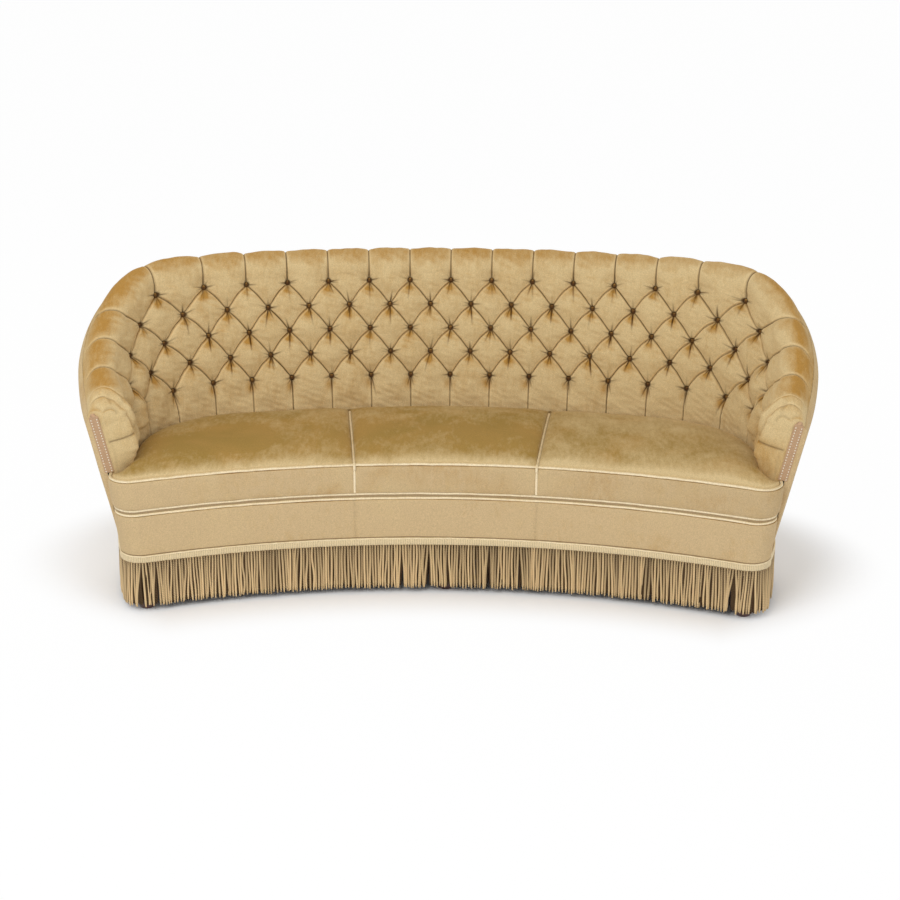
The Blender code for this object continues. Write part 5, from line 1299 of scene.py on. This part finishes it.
def arm_facings(sizes):
    """Outside cover turned round the front edge of each arm, between the border and the seam."""
    rise = np.linspace(0.0, 1.0, 60)
    lay = np.linspace(0.0, 1.0, 9)[None, :, None]
    low, knee = 0.225, SEAT_EDGE_HEIGHT + 3 * sizes.welt_radius
    core = ROLL_RADIUS * float(wall_share(LINE_END))
    turn = np.linspace(math.pi, SEAM_ANGLE, 12)
    for label, side in (("left", -1.0), ("right", 1.0)):
        mark = np.float64(side * LINE_END)
        outer = np.concatenate([foot_at(mark, np.linspace(low, float(roll_height(mark)), 30)[:-1], 2 * core),
                                section_at(mark, core * np.cos(turn), core * np.sin(turn))])
        border = [(side * front_line(-sizes.border_swell - 0.0008, height)[-1][0], ARM_FACE_Y, height)
                  for height in np.linspace(low, SEAT_EDGE_HEIGHT, 12)]
        strip_foot = foot_at(mark, np.float64(knee), STRIP_WIDTH * 0.5)
        strip_top = section_at(mark, NOSE_END_WIDTH / 2 - STRIP_WIDTH / 2, np.float64(core * 0.75))
        inner = np.concatenate([border, [strip_foot], [strip_top]])
        outer, inner = resample(outer, rise), resample(inner, rise)
        front = between(inner[:, None], outer[:, None], lay)
        back = front.copy()
        back[..., 1] = ARM_FACE_Y
        dome = 0.0004 + 0.0020 * np.sqrt(np.clip(1.0 - lay[..., 0] ** 4, 0.0, 1.0))
        front[..., 1] = ARM_FACE_Y - dome
        piece = slab("arm_facing_" + label, front, back, finish_of("Cut cotton velour, outside"), SEWN_EDGE)
        finish_piece(piece, "gold_velour_light", fill=0.3)


# Fringe

def fringe_runs():
    """Name and plan line of the front and the rear run of fringe."""
    marks = np.linspace(-LINE_END, LINE_END, 500)

    def front(outward, shares):
        return resample(front_line(-outward, PANEL_BOTTOM_HEIGHT), shares)

    def rear(outward, shares):
        return resample(np.stack(line_at(marks, BASE_OFFSET + outward), axis=-1), shares)

    return (("front", front), ("rear", rear))


def fringe_heading(sizes):
    """Ribbed woven heading with a cord along its top."""
    tall = HEADER_TOP_HEIGHT - PANEL_BOTTOM_HEIGHT - 0.004
    # Share of the heading's height and its thickness there, from the foot up
    profile = ((0.0, 0.0026), (0.06, 0.0038), (0.3, 0.0041), (0.6, 0.0039), (0.92, 0.0036), (1.0, 0.0024))
    for label, line_of in fringe_runs():
        run = line_length(line_of(0.0, np.linspace(0.0, 1.0, 400)))
        count = round(run / sizes.rib_pitch) * 4 + 1
        shares = np.linspace(0.0, 1.0, count)
        rib = 0.5 + 0.5 * np.cos(2 * math.pi * np.arange(count) / 4)[:, None]
        base = line_of(GAP, shares)
        away = unit(line_of(GAP + 0.01, shares) - base)
        outer, inner = [], []
        for share, thick in profile:
            height = PANEL_BOTTOM_HEIGHT + tall * share
            outer.append(levelled(base + away * (thick + 0.0015 * rib), height))
            inner.append(levelled(base, height))
        piece = slab("heading_" + label, np.stack(outer, axis=1), np.stack(inner, axis=1),
                     finish_of("Woven fringe heading"), attributes={"rib": np.tile(rib, len(profile))})
        finish_piece(piece, "fringe_thread", "header_" + label)
        points = levelled(line_of(0.0026, np.linspace(0.0, 1.0, 400)), HEADER_TOP_HEIGHT - 0.0022)
        points[:, 2] += 0.0004 * ripple(points[:, :2], 0.05, 61)
        piece = piping("heading_cord_" + label, points, 0.0023, finish_of("Velour piping"))
        finish_piece(piece, "fringe_thread")


def bullion_fringe(sizes):
    """Two layers of twisted cords that hang from the heading and sway a little apart."""
    for seed, (label, line_of) in enumerate(fringe_runs()):
        rng = np.random.default_rng(70 + seed)
        run = line_length(line_of(0.0, np.linspace(0.0, 1.0, 400)))
        layers = []
        # The layer behind hangs closer and in shade
        for layer, pitch in ((0, sizes.cord_pitch), (1, sizes.cord_pitch * 0.8)):
            count = round(run / pitch)
            layers.append(np.column_stack([(np.arange(count) + 0.5) / count, np.full(count, layer)]))
        share, layer = np.concatenate(layers).T
        here = share * run
        many = len(here)
        drift = 0.0040 * ripple(here[:, None], 0.10, 80 + seed) + 0.0008 * rng.normal(size=many)
        for place, width, opening in fringe_partings(label, run):
            gap = here - place
            drift += opening * np.sign(gap) * np.exp(-(np.abs(gap) / width)) * (1.0 - 0.4 * layer)
        sway = 0.0030 * ripple(here[:, None], 0.055, 90 + seed) + 0.0014 * rng.normal(size=many)
        foot = FRINGE_BOTTOM_HEIGHT + 0.003 + 0.0035 * np.abs(rng.normal(size=many)) + 0.004 * layer
        # A cord strays more the lower it hangs, and bends a little on its way
        level = np.linspace(0.0, 1.0, CORD_RINGS)[None, :]
        hang = np.sin(level * math.pi / 2) ** 1.5
        crook = rng.normal(size=(many, 1)) * np.sin(math.pi * level * rng.uniform(1.0, 2.2, (many, 1)))
        along = np.clip((here[:, None] + drift[:, None] * hang + 0.0010 * crook) / run, 0.0, 1.0)
        out = 0.0030 - 0.0050 * layer[:, None] + (sway[:, None] + 0.0018) * hang * (1 - layer[:, None])
        height = between(PANEL_BOTTOM_HEIGHT + 0.0015, foot[:, None], level)
        base = line_of(0.0, along.ravel())
        away = unit(line_of(0.01, along.ravel()) - base)
        ahead = np.stack([-away[:, 1], away[:, 0]], axis=-1)
        middle = base + away * out.reshape(-1, 1)
        thick = sizes.cord_radius * (1.0 + 0.5 * layer[:, None])
        thick = np.array([0.8, 1, 1, 1, 1, 1, 1, 1.04, 1.04, 0.55])[None, :] * thick
        thick = (thick * rng.uniform(0.9, 1.1, (many, 1))).reshape(-1, 1)
        turns = np.arange(CORD_SIDES) / CORD_SIDES
        rings = np.stack([middle + thick * (math.cos(turn) * away + math.sin(turn) * ahead)
                          for turn in 2 * math.pi * turns], axis=1)
        rings = rings.reshape(many, CORD_RINGS, CORD_SIDES, 2)
        tall = np.broadcast_to(height[:, :, None, None], rings.shape[:3] + (1,))
        verts = np.concatenate([rings, tall], axis=-1).reshape(-1, 3)
        down = level[..., None] * FRINGE_DROP / PLY_TURN_LENGTH
        uv = [np.broadcast_to(share, rings.shape[:3]) for share in (turns, down)]
        # Painted shade: the layer behind is painted dark and each cord darker towards the heading, and cords
        # differ a little in tone at random
        shade = 0.19 + 0.95 * layer[:, None] + 0.12 * rng.normal(size=(many, 1)) + 0.30 * (1 - level) ** 2
        shade = np.repeat(np.clip(shade, 0.0, 1.0), CORD_SIDES, axis=1).reshape(-1)
        first = (np.arange(many) * CORD_RINGS * CORD_SIDES)[:, None, None]
        ring, side = np.meshgrid(np.arange(CORD_RINGS - 1), np.arange(CORD_SIDES), indexing="ij")
        near = ring * CORD_SIDES + side
        far = ring * CORD_SIDES + (side + 1) % CORD_SIDES
        quads = np.stack([near, far, far + CORD_SIDES, near + CORD_SIDES], axis=-1).reshape(1, -1, 4) + first
        end = np.arange(CORD_SIDES)
        caps = np.stack([end[::-1], end + (CORD_RINGS - 1) * CORD_SIDES])[None] + first
        piece = add_piece("bullion_" + label, verts, [quads.reshape(-1, 4), caps.reshape(-1, CORD_SIDES)],
                          finish_of("Plied cotton bullion"), math.radians(70.0), {"shade": shade},
                          np.stack(uv, axis=-1).reshape(-1, 2))
        finish_piece(piece, "fringe_thread", "fringe_" + label)


def fringe_partings(label, run):
    """Where the cords of a run of fringe have parted: place, width and half opening."""
    if label == "rear":
        partings = ((0.22, 0.03, 0.006), (0.58, 0.02, 0.005), (0.83, 0.03, 0.006))
    else:
        partings = ((0.052, 0.012, 0.011), (0.072, 0.010, 0.009), (0.435, 0.010, 0.007),
                    (0.475, 0.012, 0.008), (0.565, 0.010, 0.010), (0.61, 0.008, 0.006),
                    (0.925, 0.012, 0.012), (0.955, 0.010, 0.007), (0.505, 0.010, 0.005))
    return [(share * run, width, opening) for share, width, opening in partings]


# Feet, linings and frame

def foot_places():
    """Name and centre in plan of every foot."""
    places = []
    for name in ("front_left", "front_centre", "front_right", "rear_left", "rear_centre", "rear_right"):
        low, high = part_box("foot_" + name)
        places.append((name, (low[0] + high[0]) / 2, (low[1] + high[1]) / 2))
    return places


def turned_feet():
    """Bun feet: a disc is extruded and widened ring by ring, as a lathe cuts it."""
    # Radius and height of each ring, from the dowel's top to the floor
    rings = [(0.007, 0.1447), (0.007, 0.0997), (0.018, 0.0997), (0.0236, 0.0985), (0.0249, 0.0965),
             (0.0249, 0.0895), (0.0236, 0.0873), (0.0190, 0.0855), (0.0182, 0.0815), (0.0188, 0.0788),
             (0.0226, 0.0758), (0.0262, 0.0705), (0.0290, 0.0625), (0.0306, 0.0520), (0.0310, 0.0420),
             (0.0303, 0.0310), (0.0284, 0.0205), (0.0256, 0.0110), (0.0225, 0.0040), (0.0212, 0.0012),
             (0.0196, 0.0)]
    for name, x, y in foot_places():
        deselect()
        radius, height = rings[0]
        bpy.ops.mesh.primitive_circle_add(vertices=40, radius=radius, fill_type="NGON",
                                          location=(x, y, height))
        made = bpy.context.object
        bpy.ops.object.mode_set(mode="EDIT")
        bpy.ops.mesh.select_all(action="SELECT")
        for (wide, top), (width, level) in zip(rings, rings[1:]):
            bpy.ops.mesh.extrude_region_move(TRANSFORM_OT_translate={"value": (0.0, 0.0, level - top)})
            if width != wide:
                bpy.ops.transform.resize(value=(width / wide, width / wide, 1.0),
                                         center_override=(x, y, level))
        bpy.ops.mesh.select_all(action="SELECT")
        bpy.ops.mesh.normals_make_consistent(inside=False)
        bpy.ops.object.mode_set(mode="OBJECT")
        bpy.ops.object.transform_apply(location=True, rotation=True, scale=True)
        bpy.ops.object.shade_smooth_by_angle(angle=math.radians(48.0))
        made.name = made.data.name = "turned_foot_" + name
        made.data.materials.append(finish_of("Stained turned beech"))
        finish_piece(made, "stained_wood", "foot_" + name)


def hessian_lining():
    """Hessian stretched over the back's frame, behind the buttoned cover."""
    marks = np.linspace(-NOSE_START, NOSE_START, 300)[:, None]
    depth = PAD_THICKNESS + GAP + LINING_THICKNESS / 2
    foot = foot_at(marks, PAD_BOTTOM_HEIGHT, depth)
    top = section_at(marks, ROLL_RADIUS * wall_share(marks) - depth, 0.0)
    grid = between(foot, top, np.linspace(0.0, 1.0, 24)[None, :, None])
    lining = add_piece("hessian_lining", grid.reshape(-1, 3), [grid_faces(300, 24)],
                       finish_of("Woven hessian"))
    finish_piece(lining, "hessian", "back_lining")


def dust_cover():
    """Black cambric tacked under the rails and cut out round the feet."""
    tack_inset, hole_radius = 0.0225, 0.029
    low_height = RAIL_BOTTOM_HEIGHT - GAP - 0.0008
    count, rows = 200, 40
    shares = np.linspace(0.0, 1.0, count)
    front = resample(front_line(BORDER_THICKNESS + GAP + tack_inset, PANEL_BOTTOM_HEIGHT), shares)
    marks = np.linspace(-NOSE_START, NOSE_START, 400)
    panel_foot = WALL_THICKNESS + (PANEL_BOTTOM_HEIGHT - WALL_LINE_HEIGHT) * LEAN
    rear_offset = panel_foot - PANEL_THICKNESS - GAP - tack_inset
    rear = resample(np.stack(line_at(marks, rear_offset), axis=-1), shares)
    back = np.linspace(0.0, 1.0, rows)[None, :, None]
    plan = between(front[:, None], rear[:, None], back)
    sag = 0.004 * np.sin(math.pi * back[..., 0]) * np.sin(math.pi * shares)[:, None] ** 0.5
    for _, x, y in foot_places():
        away = plan - (x, y)
        apart = np.linalg.norm(away, axis=-1, keepdims=True)
        plan = np.where(apart < hole_radius, (x, y) + unit(away) * hole_radius, plan)
        sag = np.where(apart[..., 0] < 0.06, 0.0, sag)
    grid = np.concatenate([plan, (low_height - sag)[..., None]], axis=-1)
    faces = grid_faces(count, rows)
    middle = grid.reshape(-1, 3)[faces].mean(axis=1)[:, :2]
    keep = np.ones(len(faces), dtype=bool)
    for _, x, y in foot_places():
        keep &= np.linalg.norm(middle - (x, y), axis=1) > hole_radius - 0.0005
    cover = add_piece("dust_cover_cloth", grid.reshape(-1, 3), [faces[keep]], finish_of("Black cambric"))
    finish_piece(cover, "dust_cloth", "dust_cover")


def webbing():
    """Jute straps, woven over and under each other, under each seat."""
    steps = 60
    lay = np.linspace(0.0, 1.0, 41)
    # Direction and number of the straps, how many cross them, and their free edge and width as shares
    ways = ((0, 5, 6, 0.14, 0.085), (1, 6, 5, 0.10, 0.075))
    for label, seat in (("left", -1), ("centre", 0), ("right", 1)):
        low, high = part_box("seat_webbing_" + label)
        lift = (low[2] + high[2]) / 2
        plan = seat_outline(seat, PANEL_BOTTOM_HEIGHT, lay, lay)
        verts, faces = [], []
        for axis, count, crossing, edge, width in ways:
            run = np.linspace(edge, 1.0 - edge, steps)
            for index in range(count):
                middle = edge + (1.0 - 2 * edge) * (index + 0.5) / count
                weave = 0.0012 * np.sin(math.pi * (run * crossing + index + axis))
                for side in (0.0006, -0.0006):
                    for share in (middle - width / 2, middle + width / 2):
                        beside = np.full(steps, share)
                        first, second = (beside, run) if axis else (run, beside)
                        block = sample_grid(plan, first, second)
                        verts.append(np.column_stack([block, lift + weave + side]))
                # The strap's four long edges, in order round it
                ring = (len(verts) - 4 + np.array([0, 1, 3, 2])) * steps
                step = np.arange(steps - 1)[:, None]
                for near, far in zip(ring, np.roll(ring, -1)):
                    faces.append(np.column_stack([near + step, near + step + 1, far + step + 1, far + step]))
                faces.append(np.array([ring, ring[::-1] + steps - 1]))
        piece = add_piece("jute_webbing_" + label, np.concatenate(verts), [np.concatenate(faces)],
                          finish_of("Woven jute webbing"), math.radians(40.0))
        finish_piece(piece, "hessian", "seat_webbing_" + label)


def sample_grid(grid, first, second):
    """Points of a grid at shares of its two directions."""
    spot = np.stack([first, second], axis=-1) * (np.array(grid.shape[:2]) - 1)
    cell = np.clip(np.floor(spot).astype(int), 0, np.array(grid.shape[:2]) - 2)
    part = spot - cell
    total = 0.0
    for across in (0, 1):
        for up in (0, 1):
            weight = (part[:, 0] if across else 1 - part[:, 0]) * (part[:, 1] if up else 1 - part[:, 1])
            total = total + weight[:, None] * grid[cell[:, 0] + across, cell[:, 1] + up]
    return total


def frame_finishes():
    """Bare beech and spring steel on the frame's own parts."""
    words = (("spring", "Drawn spring steel"), ("rail", "Planed beech"), ("post", "Planed beech"),
             ("block", "Planed beech"), ("bearer", "Planed beech"))
    for name, kept in NODES.items():
        if kept.hide_render:
            continue
        for word, finish in words:
            if word in name:
                kept.data.materials.clear()
                kept.data.materials.append(finish_of(finish))
                break
        else:
            raise RuntimeError("Nothing covers or finishes " + name)


# Stage

def stage():
    """Pale floor, soft studio light, white surround and the photograph's camera."""
    scene = bpy.context.scene
    tones = scene.sofa_colours
    deselect()
    bpy.ops.mesh.primitive_plane_add(size=60.0, location=(0.0, 0.0, -0.0005))
    floor = bpy.context.object
    floor.name = floor.data.name = "studio_floor"
    bpy.ops.object.transform_apply(location=True, rotation=True, scale=True)
    floor.data.materials.append(studio_floor("Matt studio paint", tuple(tones.floor)))
    world = bpy.data.worlds.new("Studio")
    scene.world = world
    world.use_nodes = True
    tree = world.node_tree
    tree.nodes.clear()
    light = node(tree, "ShaderNodeBackground", {"Color": (1.0, 1.0, 1.0, 1.0), "Strength": 0.60}).outputs[0]
    white = node(tree, "ShaderNodeBackground", {"Color": (1.0, 1.0, 1.0, 1.0), "Strength": 1.0}).outputs[0]
    mixed = node(tree, "ShaderNodeMixShader", {0: direct_rays(tree), 1: light, 2: white}).outputs[0]
    node(tree, "ShaderNodeOutputWorld", {"Surface": mixed})
    lamps = (("key", (-1.4, -2.6, 3.2), (2.5, 2.0), 64.0), ("fill", (2.6, -2.4, 2.0), (2.5, 2.0), 18.0),
             ("rear", (0.0, 3.0, 3.0), (3.0, 1.5), 25.0))
    for name, spot, size, power in lamps:
        data = bpy.data.lights.new("studio_" + name, "AREA")
        data.shape = "RECTANGLE"
        data.size, data.size_y = size
        data.energy = power
        lamp = bpy.data.objects.new("studio_" + name, data)
        lamp.location = spot
        lamp.rotation_euler = (Vector((0.0, 0.0, 0.4)) - lamp.location).to_track_quat("-Z", "Y").to_euler()
        scene.collection.objects.link(lamp)
    # Lens and place of the camera, worked out from the photograph's 900 by 900 frame
    focal, across, distance, height = 1699.41, 0.11487, 4.42669, 2.14256
    pitch, yaw, roll = 0.367392, -0.0231661, 0.00360904
    forward = Vector((math.sin(yaw) * math.cos(pitch), math.cos(yaw) * math.cos(pitch), -math.sin(pitch)))
    right = Vector((math.cos(yaw), -math.sin(yaw), 0.0))
    up = right.cross(forward)
    turned = math.cos(roll) * right + math.sin(roll) * up
    upright = -math.sin(roll) * right + math.cos(roll) * up
    data = bpy.data.cameras.new("studio_camera")
    data.sensor_width = 36.0
    data.lens = 36.0 * focal / 900.0
    camera = bpy.data.objects.new("studio_camera", data)
    turn = Matrix((turned, upright, -forward)).transposed().to_4x4()
    camera.matrix_world = Matrix.Translation((across, -distance - CENTRE_Y, height)) @ turn
    scene.collection.objects.link(camera)
    scene.camera = camera
    scene.view_settings.view_transform = "Standard"


# Add-on classes

class SofaOperator:
    """Settings that all operators of the sofa share"""

    bl_options = {"REGISTER", "UNDO"}

    @classmethod
    def poll(cls, context):
        return context.mode == "OBJECT"


class SOFA_OT_buttoned_back(SofaOperator, bpy.types.Operator):
    """Makes the deep-buttoned inside cover in three lengths"""

    bl_idname = "sofa.buttoned_back"
    bl_label = "Buttoned back"

    def execute(self, context):
        tufted_cover(context.scene.sofa_sizes)
        return {"FINISHED"}


class SOFA_OT_buttons(SofaOperator, bpy.types.Operator):
    """Makes the covered buttons"""

    bl_idname = "sofa.buttons"
    bl_label = "Covered buttons"

    def execute(self, context):
        covered_buttons(context.scene.sofa_sizes)
        return {"FINISHED"}


class SOFA_OT_outside(SofaOperator, bpy.types.Operator):
    """Makes the smooth outside covers of the arms and the back"""

    bl_idname = "sofa.outside"
    bl_label = "Outside covers"

    def execute(self, context):
        outside_covers()
        arm_facings(context.scene.sofa_sizes)
        return {"FINISHED"}


class SOFA_OT_seats(SofaOperator, bpy.types.Operator):
    """Makes the three sprung seats"""

    bl_idname = "sofa.seats"
    bl_label = "Seats"

    def execute(self, context):
        sprung_seats(context.scene.sofa_sizes)
        return {"FINISHED"}


class SOFA_OT_front(SofaOperator, bpy.types.Operator):
    """Makes the padded border and the apron under the seats"""

    bl_idname = "sofa.front"
    bl_label = "Border and apron"

    def execute(self, context):
        front_pads(context.scene.sofa_sizes)
        return {"FINISHED"}


class SOFA_OT_piping(SofaOperator, bpy.types.Operator):
    """Makes the piping of the front and of the seat seams"""

    bl_idname = "sofa.piping"
    bl_label = "Piping"

    def execute(self, context):
        front_piping(context.scene.sofa_sizes)
        seat_seams(context.scene.sofa_sizes)
        return {"FINISHED"}


class SOFA_OT_gimp(SofaOperator, bpy.types.Operator):
    """Makes the gimp strips of the arm fronts with their stitches"""

    bl_idname = "sofa.gimp"
    bl_label = "Gimp strips"

    def execute(self, context):
        gimp_strips(context.scene.sofa_sizes)
        return {"FINISHED"}


class SOFA_OT_fringe(SofaOperator, bpy.types.Operator):
    """Makes the fringe and its heading, round the front and the rear"""

    bl_idname = "sofa.fringe"
    bl_label = "Bullion fringe"

    def execute(self, context):
        fringe_heading(context.scene.sofa_sizes)
        bullion_fringe(context.scene.sofa_sizes)
        return {"FINISHED"}


class SOFA_OT_feet(SofaOperator, bpy.types.Operator):
    """Makes the six turned feet"""

    bl_idname = "sofa.feet"
    bl_label = "Turned feet"

    def execute(self, context):
        turned_feet()
        return {"FINISHED"}


class SOFA_OT_linings(SofaOperator, bpy.types.Operator):
    """Makes the hessian, the webbing and the dust cover, and finishes the frame"""

    bl_idname = "sofa.linings"
    bl_label = "Linings and frame"

    def execute(self, context):
        hessian_lining()
        dust_cover()
        webbing()
        frame_finishes()
        return {"FINISHED"}


class SOFA_OT_stage(SofaOperator, bpy.types.Operator):
    """Makes the floor, the studio light and the camera"""

    bl_idname = "sofa.stage"
    bl_label = "Stage"

    def execute(self, context):
        stage()
        return {"FINISHED"}


class SOFA_PT_panel(bpy.types.Panel):
    """Sizes, colours and pieces of the sofa"""

    bl_idname = "SOFA_PT_panel"
    bl_label = "Curved buttoned sofa"
    bl_space_type = "VIEW_3D"
    bl_region_type = "UI"
    bl_category = "Sofa"

    def draw(self, context):
        layout = self.layout
        for group in (context.scene.sofa_sizes, context.scene.sofa_colours):
            box = layout.box()
            for key in group.__annotations__:
                box.prop(group, key)
        for made in OPERATORS:
            layout.operator(made.bl_idname)


OPERATORS = (SOFA_OT_buttoned_back, SOFA_OT_buttons, SOFA_OT_outside, SOFA_OT_seats, SOFA_OT_front,
             SOFA_OT_piping, SOFA_OT_gimp, SOFA_OT_fringe, SOFA_OT_feet, SOFA_OT_linings, SOFA_OT_stage)
CLASSES = (SofaSizes, SofaColours, *OPERATORS, SOFA_PT_panel)


def register():
    for made in CLASSES:
        bpy.utils.register_class(made)
    bpy.types.Scene.sofa_sizes = PointerProperty(type=SofaSizes)
    bpy.types.Scene.sofa_colours = PointerProperty(type=SofaColours)


def unregister():
    del bpy.types.Scene.sofa_colours
    del bpy.types.Scene.sofa_sizes
    for made in reversed(CLASSES):
        bpy.utils.unregister_class(made)


def main():
    register()
    for made in OPERATORS:
        group, call = made.bl_idname.split(".")
        getattr(getattr(bpy.ops, group), call)()
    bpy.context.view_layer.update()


if __name__ == "__main__":
    main()
